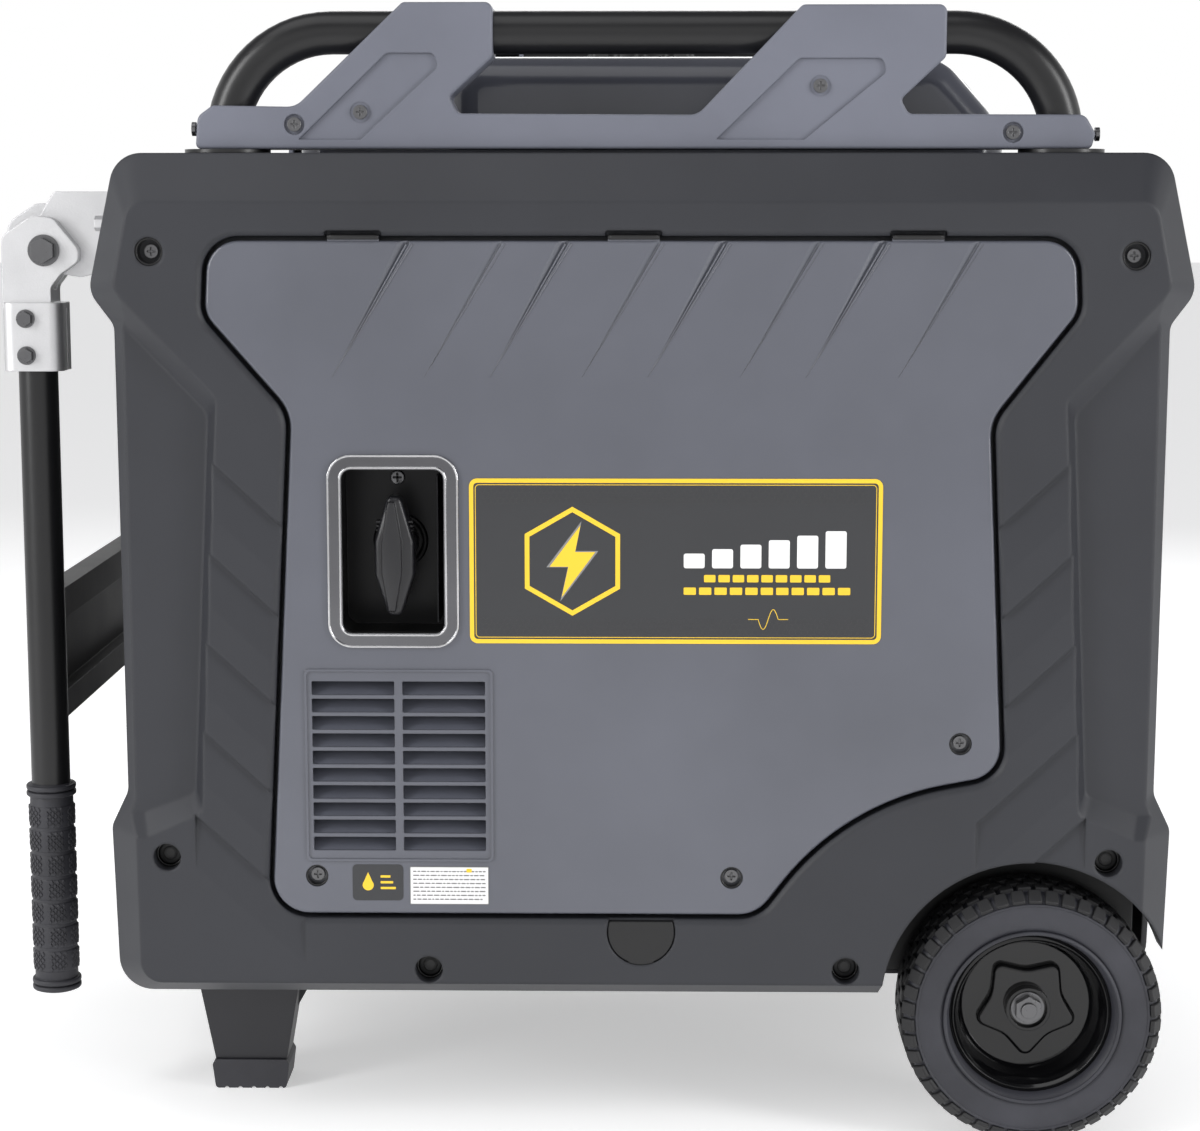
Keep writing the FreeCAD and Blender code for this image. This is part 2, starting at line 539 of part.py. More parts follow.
def recoil_grip():
    """Pull grip: a pointed oval bar on a round neck that seats in the pocket."""
    half_height, half_width = 46.0, 15.0
    ends = [Vector(RECOIL_X, -303, RECOIL_Z - 5 + side * half_height) for side in (-1, 1)]
    arcs = [Part.Arc(ends[0], Vector(RECOIL_X + side * half_width, -303, RECOIL_Z - 5), ends[1]).toShape()
            for side in (-1, 1)]
    bar = extrude(Part.Face(Part.Wire(arcs)), "y", 30)
    bar = bar.common(rod("x", -278, RECOIL_Z - 5, RECOIL_X - 40, RECOIL_X + 40, 47))
    neck = rod("y", RECOIL_X, RECOIL_Z, -275, -243.5, 9)
    return joined([bar, neck])


def labels():
    face = -DOOR_FACE
    main = pad("y", -127, 180, 389, 513, face - 0.5, face, 6)
    pictogram = pad("y", -217.5, -179, 190.5, 218.5, face - 0.4, face, 4)
    information = pad("y", -174, -114, 187.5, 217, face - 0.4, face, 1)
    return [main, pictogram, information]


def drain_plug():
    """Rubber plug in the frame's rim, cut off by the door's lower gap, with a pull tab."""
    plug = rod("y", 1.5, 167, -SIDE + 0.5, -SIDE + 6, 25)
    tab = pad("y", -8, 11, 140, 152, -SIDE + 0.5, -SIDE + 2.5, 2)
    return joined([plug, tab.common(rod("y", 1.5, 167, -SIDE, -SIDE + 3, 25.8))]).common(
        box(-30, 30, -SIDE, -SIDE + 7, 130, 175))


def control_panel():
    """Panel behind the front shell's opening, bored for its controls and outlets."""
    panel = pad("x", -175, 175, 420, 625, PANEL_FACE, PANEL_FACE + 4, 8)
    front, back = PANEL_FACE - 1, PANEL_FACE + 5
    cuts = [rod("x", y, CONTROL_Z, front, back, 8.2) for y in (IGNITION_Y, START_Y)]
    cuts += [pad("x", ECONOMY_Y - 15, ECONOMY_Y + 15, CONTROL_Z - 10, CONTROL_Z + 10, front, back, 2)]
    cuts += [rod("x", y, BREAKER_Z, front, back, 6.2) for y in (-130, -95)]
    return without(panel, cuts)


def outlets():
    """Two flat-blade outlets under flaps and two round locking outlets."""
    front = PANEL_FACE - 3
    shapes = []
    for y in (-120, -50):
        body = pad("x", y - 24, y + 24, OUTLET_Z - 30, OUTLET_Z + 30, front, PANEL_FACE, 6)
        slots = [pad("x", y + dy - 1.2, y + dy + 1.2, z - 4, z + 4, front - 1, PANEL_FACE + 1, 0.5)
                 for dy in (-6.3, 6.3) for z in (462, 490)]
        earth = [rod("x", y, z - 9, front - 1, PANEL_FACE + 1, 2.6) for z in (462, 490)]
        shapes.append(without(body, slots + earth))
    for y in (40, 115):
        body = rod("x", y, OUTLET_Z, front - 2, PANEL_FACE, 30)
        holes = [rod("x", y + 12 * math.cos(t), OUTLET_Z + 12 * math.sin(t), front - 3, PANEL_FACE + 1, 2.6)
                 for t in (math.radians(90 * k + 45) for k in range(4))]
        shapes.append(without(body, holes))
    return shapes


def outlet_flap(y):
    """Spring flap over a flat-blade outlet, hinged along its top edge."""
    flap = pad("x", y - 25, y + 25, 443, 509, -392, -388.2, 6)
    barrel = rod("y", -389.5, 511, y - 18, y + 18, 2.6)
    return joined([flap, barrel])


def ignition_knob():
    """Round knob with a finger bar, on a shaft through the panel."""
    bar = pad("x", IGNITION_Y - 4, IGNITION_Y + 4, CONTROL_Z - 13, CONTROL_Z + 13, -402, -396, 2)
    disc = rod("x", IGNITION_Y, CONTROL_Z, -397, PANEL_FACE - 0.3, 15)
    return joined([disc, bar, rod("x", IGNITION_Y, CONTROL_Z, PANEL_FACE - 1, PANEL_FACE + 8, 8)])


def push_button(y, z, front, radius):
    """Button through the panel, kept in by a collar behind it."""
    stop = PANEL_FACE + 6
    return joined([rod("x", y, z, front, stop, radius), rod("x", y, z, stop, stop + 3, radius + 2)])


def economy_rocker():
    """Rocker whose face is part of a cylinder about its own axis."""
    rocker = pad("x", ECONOMY_Y - 14, ECONOMY_Y + 14, CONTROL_Z - 8.5, CONTROL_Z + 8.5,
                 -389, PANEL_FACE + 3, 1)
    return rocker.common(rod("y", -378, CONTROL_Z, ECONOMY_Y - 20, ECONOMY_Y + 20, 11.5))


def engine_block():
    """Hollow crankcase with a finned barrel above it, bored for the crankshaft."""
    case = pad("y", -130, 50, 230, 425, -95, 105, 30)
    chamber = pad("y", -121, 41, 239, 416, -86, 96, 22)
    sump = box(-120, 40, -85, 95, 160, 235)
    barrel = rod("z", CRANK_X, 0, 420, 560, 48)
    fins = [pad("z", CRANK_X - 68, CRANK_X + 68, -66, 66, 432 + 15 * k, 436 + 15 * k, 12) for k in range(8)]
    block = joined([case, sump, barrel] + fins)
    return without(block, [chamber, rod("y", CRANK_X, CRANK_Z, -100, 110, 16 + RUN)])


def head_cover():
    return joined([pad("z", CRANK_X - 60, CRANK_X + 60, -60, 60, 560, 596, 16),
                   pad("z", CRANK_X - 44, CRANK_X + 44, -44, 44, 595, 622, 14)])


def crankshaft():
    """Shaft with the cooling flywheel at the left end and the generator rotor at the right."""
    shaft = rod("y", CRANK_X, CRANK_Z, -200, 205, 16)
    flywheel = rod("y", CRANK_X, CRANK_Z, -165, -140, 92)
    blades = [box(CRANK_X + 50, CRANK_X + 90, -188, -164, CRANK_Z - 2, CRANK_Z + 2) for k in range(12)]
    for k, blade in enumerate(blades):
        blade.rotate(Vector(CRANK_X, 0, CRANK_Z), Vector(0, 1, 0), 30 * k)
    rotor = rod("y", CRANK_X, CRANK_Z, 125, 190, 70)
    return joined([shaft, flywheel, rotor] + blades)


def alternator_stator():
    return ring("y", CRANK_X, CRANK_Z, 112, 195, 104, 72)


def fan_shroud():
    wall = ring("y", CRANK_X, CRANK_Z, -198, -125, 104, 98)
    guard = ring("y", CRANK_X, CRANK_Z, -198, -194, 100, 60)
    return joined([wall, guard])


def recoil_housing():
    """Shallow cup over the fan with the fixed pin that carries the pulley."""
    cup = rod("y", CRANK_X, CRANK_Z, -232, -200, 72).cut(rod("y", CRANK_X, CRANK_Z, -228, -199, 66))
    window = box(CRANK_X - 90, CRANK_X - 40, -226, -206, CRANK_Z + 20, CRANK_Z + 70)
    return joined([cup.cut(window), rod("y", CRANK_X, CRANK_Z, -229, -206, 7)])


def recoil_pulley():
    """Grooved drum for the starter rope."""
    bore, drum, flange = 7 + RUN, 44, 52
    profile = [(bore, -226), (flange, -226), (flange, -223), (drum, -221), (drum, -213), (flange, -211),
               (flange, -208), (bore, -208)]
    return revolved(profile, CRANK_X, CRANK_Z)


def muffler():
    """Thin-walled silencer box with its outlet in the wheel end."""
    wall = 3
    body = pad("x", -110, 130, 430, 660, 170, 320, 40)
    body = rounded(body, 14, lambda edge: edge.BoundBox.XMin > 319.9 or edge.BoundBox.XMax < 170.1)
    hollow = pad("x", -110 + wall, 130 - wall, 430 + wall, 660 - wall, 181, 309, 40 - wall)
    outlet = rod("x", EXHAUST_Y, EXHAUST_Z, 300, 325, EXHAUST_R - 2)
    return without(body, [hollow, outlet])


def tail_pipe():
    pipe = ring("x", EXHAUST_Y, EXHAUST_Z, 320, 386, EXHAUST_R + 3, EXHAUST_R)
    mouth = ring("x", EXHAUST_Y, EXHAUST_Z, 386, 396, EXHAUST_R + 10, EXHAUST_R)
    return joined([pipe, mouth])


def inverter_module():
    core = box(-372, -300, -190, 190, 140, 280)
    fins = [box(-300, -272, y, y + 3, 145, 275) for y in range(-185, 186, 14)]
    return joined([core] + fins)


def battery():
    case = pad("z", 110, 240, -60, 110, 120, 260, 5)
    posts = [rod("z", 125, y, 260, 272, 7) for y in (-40, 90)]
    return joined([case] + posts)


def engine_mounts():
    return [rod("z", x, y, FLOOR_GAP + 2, 160, 18) for x in (-100, 20) for y in (-65, 75)]


def air_cleaner():
    body = pad("z", -330, -200, -90, 90, 600, 715, 14)
    snorkel = rod("x", 0, 650, -200, -190, 26)
    return joined([body, snorkel])


def write(name, shapes):
    """Write one node; a list becomes a group of separate solids."""
    solids = shapes if isinstance(shapes, list) else [shapes]
    solids = [solid for shape in solids for solid in shape.Solids]
    node = Part.makeCompound(solids) if len(solids) > 1 else solids[0]
    node.translate(Vector(BODY_SHIFT, 0, 0))
    node.exportStep("parts/" + name + ".step")
    state = "valid" if node.isValid() else "NOT VALID"
    print(f"{name:20s} {len(solids):3d} solids  {node.Volume / 1e6:9.4f} litres  {state}")


def pair(shape):
    shapes = shape if isinstance(shape, list) else [shape]
    return shapes + [twin(one) for one in shapes]


def main():
    os.makedirs("parts", exist_ok=True)
    frame = side_frame()
    frame_screws = [pan_screw("y", x, z, -SIDE + depth, -1, 20) for x, z, depth in FRAME_SCREWS]
    door_screws = [pan_screw("y", x, z, -DOOR_FACE + 8, -1, 12) for x, z in DOOR_SCREWS]
    nodes = {
        "side_frame_left": frame, "side_frame_right": twin(frame),
        "service_door": service_door(), "right_side_cover": right_side_cover(),
        "front_shell": front_shell(), "rear_shell": rear_shell(), "top_deck": top_deck(),
        "fuel_tank": fuel_tank(), "fuel_cap": fuel_cap(),
        "guard_tubes": pair(guard_tube()),
        "rail_cover_left": rail_cover(), "rail_cover_right": twin(rail_cover()),
        "rail_screws": pair(rail_screws()),
        "frame_screws": pair(frame_screws), "door_screws": pair(door_screws),
        "base_tray": base_tray(), "front_legs": pair(front_leg()), "foot_pads": pair(foot_pad()),
        "axle_brackets": axle_brackets(), "axle": axle(), "axle_nuts": pair(axle_nut()),
        "tyre_left": tyre(), "rim_left": rim(), "tyre_right": twin(tyre()), "rim_right": twin(rim()),
        "wheel_houses": pair(wheel_house()),
        "handle_brackets": pair(handle_bracket()), "handle_knuckles": pair(handle_knuckle()),
        "handle_bolts": pair(handle_bolts()), "handle_tubes": pair(handle_tube()),
        "handle_grips": pair(handle_grip()), "handle_crossbar": handle_crossbar(),
        "recoil_pocket": recoil_pocket(), "recoil_bezel": recoil_bezel(), "recoil_grip": recoil_grip(),
        "labels": labels(), "drain_plugs": pair(drain_plug()),
        "control_panel": control_panel(), "outlets": outlets(),
        "outlet_flap_left": outlet_flap(-120), "outlet_flap_right": outlet_flap(-50),
        "ignition_knob": ignition_knob(), "economy_rocker": economy_rocker(),
        "start_button": push_button(START_Y, CONTROL_Z, -393, 8),
        "breaker_main": push_button(-130, BREAKER_Z, -391, 6),
        "breaker_branch": push_button(-95, BREAKER_Z, -391, 6),
        "engine_block": engine_block(), "head_cover": head_cover(), "crankshaft": crankshaft(),
        "alternator_stator": alternator_stator(), "fan_shroud": fan_shroud(),
        "recoil_housing": recoil_housing(), "recoil_pulley": recoil_pulley(),
        "muffler": muffler(), "tail_pipe": tail_pipe(), "inverter_module": inverter_module(),
        "battery": battery(), "engine_mounts": engine_mounts(), "air_cleaner": air_cleaner(),
    }
    for name, shapes in nodes.items():
        write(name, shapes)


main()
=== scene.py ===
import math
import random

import bpy
from mathutils import Matrix, Vector


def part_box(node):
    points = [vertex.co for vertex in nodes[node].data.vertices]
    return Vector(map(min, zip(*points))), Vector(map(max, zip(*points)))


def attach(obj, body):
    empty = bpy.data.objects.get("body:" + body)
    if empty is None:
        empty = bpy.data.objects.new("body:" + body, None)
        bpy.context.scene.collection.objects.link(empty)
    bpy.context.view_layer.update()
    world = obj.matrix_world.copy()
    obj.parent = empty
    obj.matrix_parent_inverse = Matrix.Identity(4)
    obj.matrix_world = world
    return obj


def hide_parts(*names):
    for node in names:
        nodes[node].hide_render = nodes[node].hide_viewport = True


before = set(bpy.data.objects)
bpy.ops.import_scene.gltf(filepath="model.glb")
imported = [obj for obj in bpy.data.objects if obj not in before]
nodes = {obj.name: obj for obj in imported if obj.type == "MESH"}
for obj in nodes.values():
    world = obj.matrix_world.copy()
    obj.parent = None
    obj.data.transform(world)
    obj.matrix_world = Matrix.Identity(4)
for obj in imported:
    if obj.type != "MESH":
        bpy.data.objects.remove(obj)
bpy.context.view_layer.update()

TILT = math.radians(8.1)       # the camera looks down by this much
TURN = math.radians(0.9)       # and a little towards the handle end
STAND_OFF = 1.888              # from the left side's face
EYE_HEIGHT = 0.717
LENS = 76.9


# ---------- stage ----------

def deselect():
    if bpy.context.object and bpy.context.object.mode != "OBJECT":
        bpy.ops.object.mode_set(mode="OBJECT")
    bpy.ops.object.select_all(action="DESELECT")


def add_camera():
    low, high = (Vector(corner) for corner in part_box("side_frame_left"))
    middle = (low.x + high.x) / 2
    bpy.ops.object.camera_add(location=(middle, low.y - STAND_OFF, EYE_HEIGHT),
                              rotation=(math.pi / 2 - TILT, 0, TURN))
    camera = bpy.context.object
    camera.data.lens = LENS
    camera.data.clip_end = 30
    bpy.context.scene.camera = camera


def add_floor():
    deselect()
    bpy.ops.mesh.primitive_plane_add(size=60, location=(0, 0, 0))
    floor = bpy.context.object
    floor.name = "floor"
    material, tree, shader = new_material("pale_floor")
    shader.inputs["Base Color"].default_value = (0.9, 0.9, 0.9, 1)
    shader.inputs["Roughness"].default_value = 0.8
    shader.inputs["Emission Color"].default_value = (1, 1, 1, 1)
    shader.inputs["Emission Strength"].default_value = 0.4
    floor.data.materials.append(material)


def add_light(name, place, aim, width, height, power):
    deselect()
    bpy.ops.object.light_add(type="AREA", location=place)
    lamp = bpy.context.object
    lamp.name = name
    lamp.data.shape = "RECTANGLE"
    lamp.data.size = width
    lamp.data.size_y = height
    lamp.data.energy = power
    lamp.rotation_euler = (Vector(aim) - Vector(place)).to_track_quat("-Z", "Y").to_euler()


def add_lights():
    add_light("soft_top", (-0.5, -0.8, 2.6), (0, 0, 0.4), 2.4, 1.4, 14)
    add_light("soft_left", (-2.3, -1.7, 1.5), (-0.1, -0.3, 0.5), 0.8, 2.0, 44)
    add_light("soft_right", (2.4, -1.5, 1.2), (0.2, -0.3, 0.4), 0.7, 1.8, 36)
    add_light("soft_back", (0.4, 2.6, 1.9), (0, 0, 0.5), 2.4, 1.4, 30)
    world = bpy.context.scene.world or bpy.data.worlds.new("studio")
    bpy.context.scene.world = world
    world.use_nodes = True
    tree = world.node_tree
    coordinates = tree.nodes.new("ShaderNodeTexCoord")
    split = tree.nodes.new("ShaderNodeSeparateXYZ")
    tree.links.new(coordinates.outputs["Generated"], split.inputs["Vector"])
    dimmer_above = ramp(tree, split.outputs["Z"], [(0.3, (1, 1, 1)), (0.62, (0.2, 0.2, 0.21))])
    tree.links.new(dimmer_above, tree.nodes["Background"].inputs["Color"])
    tree.nodes["Background"].inputs["Strength"].default_value = 1.0


# ---------- material building blocks ----------

def new_material(name):
    material = bpy.data.materials.new(name)
    material.use_nodes = True
    tree = material.node_tree
    return material, tree, tree.nodes["Principled BSDF"]


def place_on(tree, scale=(1, 1, 1), turn=(0, 0, 0)):
    """Object coordinates through a Mapping node."""
    coordinates = tree.nodes.new("ShaderNodeTexCoord")
    mapping = tree.nodes.new("ShaderNodeMapping")
    mapping.inputs["Scale"].default_value = scale
    mapping.inputs["Rotation"].default_value = turn
    tree.links.new(coordinates.outputs["Object"], mapping.inputs["Vector"])
    return mapping.outputs["Vector"]


def noise(tree, where, scale, detail=3.0, roughness=0.55):
    node = tree.nodes.new("ShaderNodeTexNoise")
    node.inputs["Scale"].default_value = scale
    node.inputs["Detail"].default_value = detail
    node.inputs["Roughness"].default_value = roughness
    tree.links.new(where, node.inputs["Vector"])
    return node.outputs["Fac"]


def ramp(tree, value, stops):
    """Colour ramp through (place, colour) stops."""
    node = tree.nodes.new("ShaderNodeValToRGB")
    first, last = node.color_ramp.elements
    first.position, first.color = stops[0][0], (*stops[0][1], 1)
    last.position, last.color = stops[-1][0], (*stops[-1][1], 1)
    for place, colour in stops[1:-1]:
        node.color_ramp.elements.new(place).color = (*colour, 1)
    tree.links.new(value, node.inputs["Fac"])
    return node.outputs["Color"]


def spread(tree, value, low, high):
    node = tree.nodes.new("ShaderNodeMapRange")
    node.inputs["To Min"].default_value = low
    node.inputs["To Max"].default_value = high
    tree.links.new(value, node.inputs["Value"])
    return node.outputs["Result"]


def soft_normal(tree, shader, height, strength, distance, edge):
    """Bump over edges that are rounded in shading by a small radius."""
    bump = tree.nodes.new("ShaderNodeBump")
    bump.inputs["Strength"].default_value = strength
    bump.inputs["Distance"].default_value = distance
    tree.links.new(height, bump.inputs["Height"])
    if edge:
        bevel = tree.nodes.new("ShaderNodeBevel")
        bevel.samples = 4
        bevel.inputs["Radius"].default_value = edge
        tree.links.new(bevel.outputs["Normal"], bump.inputs["Normal"])
    tree.links.new(bump.outputs["Normal"], shader.inputs["Normal"])


def plastic(name, colour, rough, grain=900, bump=0.12, edge=0.0015, cloud=0.12, coat=0.0, shine=0.5):
    """Moulded plastic: fine spark grain, faint flow clouds and uneven gloss."""
    material, tree, shader = new_material(name)
    where = place_on(tree)
    clouds = noise(tree, where, 5.0, 4.0)
    darker = tuple(channel * (1 - cloud) for channel in colour)
    lighter = tuple(channel * (1 + cloud) for channel in colour)
    tree.links.new(ramp(tree, clouds, [(0.3, darker), (0.7, lighter)]), shader.inputs["Base Color"])
    fine = noise(tree, where, grain, 2.0)
    smears = noise(tree, where, 14.0, 5.0)
    tree.links.new(spread(tree, smears, rough - 0.05, rough + 0.07), shader.inputs["Roughness"])
    shader.inputs["Specular IOR Level"].default_value = shine
    shader.inputs["Coat Weight"].default_value = coat
    shader.inputs["Coat Roughness"].default_value = 0.12
    soft_normal(tree, shader, fine, bump, 0.0004, edge)
    return material


def painted(name, colour, rough, edge=0.001, peel=130, bump=0.06):
    """Sprayed paint: orange peel, faint clouds and uneven gloss."""
    material, tree, shader = new_material(name)
    where = place_on(tree)
    clouds = noise(tree, where, 7.0, 4.0)
    darker = tuple(channel * 0.88 for channel in colour)
    lighter = tuple(channel * 1.12 for channel in colour)
    tree.links.new(ramp(tree, clouds, [(0.3, darker), (0.7, lighter)]), shader.inputs["Base Color"])
    skin = noise(tree, where, peel, 2.0)
    smears = noise(tree, where, 22.0, 4.0)
    tree.links.new(spread(tree, smears, rough - 0.04, rough + 0.06), shader.inputs["Roughness"])
    soft_normal(tree, shader, skin, bump, 0.0006, edge)
    return material


def metal(name, colour, rough, brushed=(1, 1, 1), grain=260, bump=0.12, edge=0.0008):
    """Bare or plated metal, with grain that can be drawn out along an axis."""
    material, tree, shader = new_material(name)
    where = place_on(tree, brushed)
    streaks = noise(tree, where, grain, 4.0)
    stains = noise(tree, place_on(tree), 18.0, 5.0)
    stained = tuple(channel * 0.86 for channel in colour)
    tree.links.new(ramp(tree, stains, [(0.3, stained), (0.72, colour)]), shader.inputs["Base Color"])
    shader.inputs["Metallic"].default_value = 1.0
    tree.links.new(spread(tree, streaks, rough - 0.06, rough + 0.1), shader.inputs["Roughness"])
    soft_normal(tree, shader, streaks, bump, 0.0004, edge)
    return material


def rubber(name, colour, rough, grain=420, bump=0.25):
    """Rubber: matte, finely pitted, with a dusty bloom."""
    material, tree, shader = new_material(name)
    where = place_on(tree)
    bloom = noise(tree, where, 12.0, 6.0)
    dusty = tuple(channel * 1.7 + 0.006 for channel in colour)
    tree.links.new(ramp(tree, bloom, [(0.4, colour), (0.75, dusty)]), shader.inputs["Base Color"])
    tree.links.new(spread(tree, bloom, rough - 0.05, rough + 0.12), shader.inputs["Roughness"])
    soft_normal(tree, shader, noise(tree, where, grain, 3.0), bump, 0.0005, 0.0008)
    return material


def printed(name, colour, rough=0.35):
    """Printed film: even ink with faint mottle and a light gloss."""
    return plastic(name, colour, rough, grain=1500, bump=0.02, edge=0.0, cloud=0.06)


frame_plastic = plastic("frame_plastic", (0.0225, 0.0237, 0.029), 0.46, edge=0.004, shine=0.45)
cover_plastic = plastic("cover_plastic", (0.086, 0.0905, 0.112), 0.3, grain=1200, bump=0.05,
                        edge=0.0012, coat=0.5)
rail_plastic = plastic("rail_plastic", (0.135, 0.142, 0.176), 0.45, edge=0.002)
shell_plastic = plastic("shell_plastic", (0.02, 0.0205, 0.023), 0.5, edge=0.002)
dark_plastic = plastic("dark_plastic", (0.006, 0.006, 0.0065), 0.42)
pocket_plastic = plastic("pocket_plastic", (0.006, 0.006, 0.007), 0.3, bump=0.03, shine=0.25)
grip_plastic = plastic("grip_plastic", (0.012, 0.012, 0.014), 0.3, bump=0.03)
control_plastic = plastic("control_plastic", (0.008, 0.008, 0.0085), 0.3, bump=0.05)
green_plastic = plastic("green_plastic", (0.03, 0.22, 0.06), 0.3)
tank_paint = painted("tank_paint", (0.06, 0.063, 0.078), 0.16)
black_paint = painted("black_paint", (0.0035, 0.0035, 0.0042), 0.32)
crossbar_paint = painted("crossbar_paint", (0.0015, 0.0015, 0.0018), 0.5)
leg_paint = painted("leg_paint", (0.012, 0.012, 0.0155), 0.45)
gloss_black = painted("gloss_black", (0.003, 0.003, 0.0035), 0.08, peel=60, bump=0.03)
cast_metal = metal("cast_metal", (0.66, 0.66, 0.67), 0.46, grain=700, bump=0.3, edge=0.0015)
machined_steel = metal("machined_steel", (0.45, 0.45, 0.46), 0.3)
dark_steel = metal("dark_steel", (0.16, 0.16, 0.165), 0.28)
chrome = metal("chrome", (0.62, 0.62, 0.63), 0.08, grain=60, bump=0.02)
# Chrome darkened to paint the dark reflection on the bezel's flat frame.
chrome_painted_dark_reflection = metal("chrome_painted_dark_reflection", (0.17, 0.17, 0.18), 0.12, grain=60, bump=0.02)
brass = metal("brass", (0.72, 0.5, 0.2), 0.28)
grip_rubber = rubber("grip_rubber", (0.0165, 0.0165, 0.021), 0.52)
tyre_rubber = rubber("tyre_rubber", (0.02, 0.0205, 0.027), 0.5)
tread_rubber = rubber("tread_rubber", (0.007, 0.007, 0.008), 0.6)
copper = metal("copper_winding", (0.7, 0.32, 0.16), 0.35, brushed=(1, 30, 1))
label_ink = printed("label_ink", (0.03, 0.031, 0.034))
label_pattern = printed("label_pattern", (0.036, 0.036, 0.038))
label_yellow = printed("label_yellow", (0.86, 0.56, 0.03))
label_white = printed("label_white", (0.84, 0.84, 0.84))
label_grey = printed("label_grey", (0.22, 0.22, 0.22))
screen_glass = painted("screen_glass", (0.01, 0.02, 0.022), 0.06, peel=20, bump=0.01)

FINISHES = {
    frame_plastic: ["side_frame_left", "side_frame_right"],
    cover_plastic: ["service_door", "right_side_cover"],
    rail_plastic: ["rail_cover_left", "rail_cover_right"],
    shell_plastic: ["front_shell", "rear_shell", "top_deck", "control_panel"],
    pocket_plastic: ["recoil_pocket"],
    dark_plastic: ["wheel_houses", "fan_shroud", "recoil_housing", "air_cleaner", "battery",
                   "recoil_pulley", "drain_plugs", "fuel_cap"],
    control_plastic: ["recoil_grip", "outlets", "outlet_flap_left", "outlet_flap_right", "ignition_knob",
                      "economy_rocker", "breaker_main", "breaker_branch", "labels"],
    green_plastic: ["start_button"],
    tank_paint: ["fuel_tank"],
    black_paint: ["guard_tubes", "axle_brackets", "handle_tubes"],
    crossbar_paint: ["handle_crossbar"],
    leg_paint: ["front_legs", "base_tray"],
    gloss_black: ["rim_left", "rim_right"],
    cast_metal: ["handle_brackets", "handle_knuckles", "engine_block", "head_cover",
                 "inverter_module"],
    machined_steel: ["crankshaft", "muffler", "tail_pipe"],
    dark_steel: ["axle", "axle_nuts", "handle_bolts", "frame_screws", "door_screws", "rail_screws"],
    copper: ["alternator_stator"],
    chrome: ["recoil_bezel"],
    grip_rubber: ["handle_grips", "foot_pads", "engine_mounts"],
    tyre_rubber: ["tyre_left", "tyre_right"],
}


def finish_nodes():
    for material, names in FINISHES.items():
        for name in names:
            mesh = nodes[name].data
            mesh.materials.clear()
            mesh.materials.append(material)


# ---------- modelling ----------

MERGE = 0.00001                # points closer than this are one point
STACK = 0.0001                 # step between flat layers of a label
DOOR_FACE = 0.3075             # half the distance between the two doors' outer faces


def pick(obj):
    """Make an object the only selected one, and the active one."""
    deselect()
    obj.select_set(True)
    bpy.context.view_layer.objects.active = obj


def edit(obj):
    pick(obj)
    bpy.ops.object.mode_set(mode="EDIT")


def settle(obj):
    """Leave edit mode and put the object's place into its mesh."""
    if obj.mode == "EDIT":
        bpy.ops.object.mode_set(mode="OBJECT")
    pick(obj)
    bpy.ops.object.transform_apply(location=True, rotation=True, scale=True)
    return obj


def block(low, high, bevel=0.0, segments=2):
    """Box between two corners with bevelled edges."""
    low, high = Vector(low), Vector(high)
    deselect()
    bpy.ops.mesh.primitive_cube_add(size=1, location=(low + high) / 2)
    piece = bpy.context.object
    piece.scale = high - low
    settle(piece)
    if bevel:
        edit(piece)
        bpy.ops.mesh.select_all(action="SELECT")
        bpy.ops.mesh.bevel(offset=bevel, segments=segments, affect="EDGES", clamp_overlap=True)
        settle(piece)
    return piece


TURNS = {"x": (0, math.pi / 2, 0), "y": (math.pi / 2, 0, 0), "z": (0, 0, 0)}


def drum(axis, centre, radius, length, sides=40, bevel=0.0):
    """Cylinder about a point along an axis, its two rims bevelled."""
    deselect()
    bpy.ops.mesh.primitive_cylinder_add(vertices=sides, radius=radius, depth=length, location=centre,
                                        rotation=TURNS[axis])
    piece = settle(bpy.context.object)
    if bevel:
        edit(piece)
        bpy.ops.mesh.select_mode(type="EDGE")
        bpy.ops.mesh.select_all(action="DESELECT")
        bpy.ops.object.mode_set(mode="OBJECT")
        along = "xyz".index(axis)
        for edge in piece.data.edges:
            first, second = (piece.data.vertices[v].co for v in edge.vertices)
            edge.select = abs(first[along] - second[along]) < 1e-6
        bpy.ops.object.mode_set(mode="EDIT")
        bpy.ops.mesh.bevel(offset=bevel, segments=3, affect="EDGES", clamp_overlap=True)
        settle(piece)
    return piece


def hoop(axis, centre, radius, thickness, sides=64, section=10):
    """Round ring about an axis."""
    deselect()
    bpy.ops.mesh.primitive_torus_add(location=centre, rotation=TURNS[axis], major_segments=sides,
                                     minor_segments=section, major_radius=radius, minor_radius=thickness)
    return settle(bpy.context.object)


def tube(axis, centre, outer, inner, length, sides=40):
    """Open-bored tube: a disc, inset to leave a ring, extruded."""
    deselect()
    bpy.ops.mesh.primitive_circle_add(vertices=sides, radius=outer, fill_type="NGON", location=centre,
                                      rotation=TURNS[axis])
    piece = settle(bpy.context.object)
    edit(piece)
    bpy.ops.mesh.select_all(action="SELECT")
    bpy.ops.mesh.inset(thickness=outer - inner, depth=0)
    bpy.ops.mesh.delete(type="FACE")
    bpy.ops.mesh.select_all(action="SELECT")
    shift = [0, 0, 0]
    shift["xyz".index(axis)] = length
    bpy.ops.mesh.extrude_region_move(TRANSFORM_OT_translate={"value": shift})
    bpy.ops.mesh.select_all(action="SELECT")
    bpy.ops.mesh.normals_make_consistent(inside=False)
    settle(piece)
    piece.data.transform(Matrix.Translation([-part / 2 for part in shift]))
    return piece


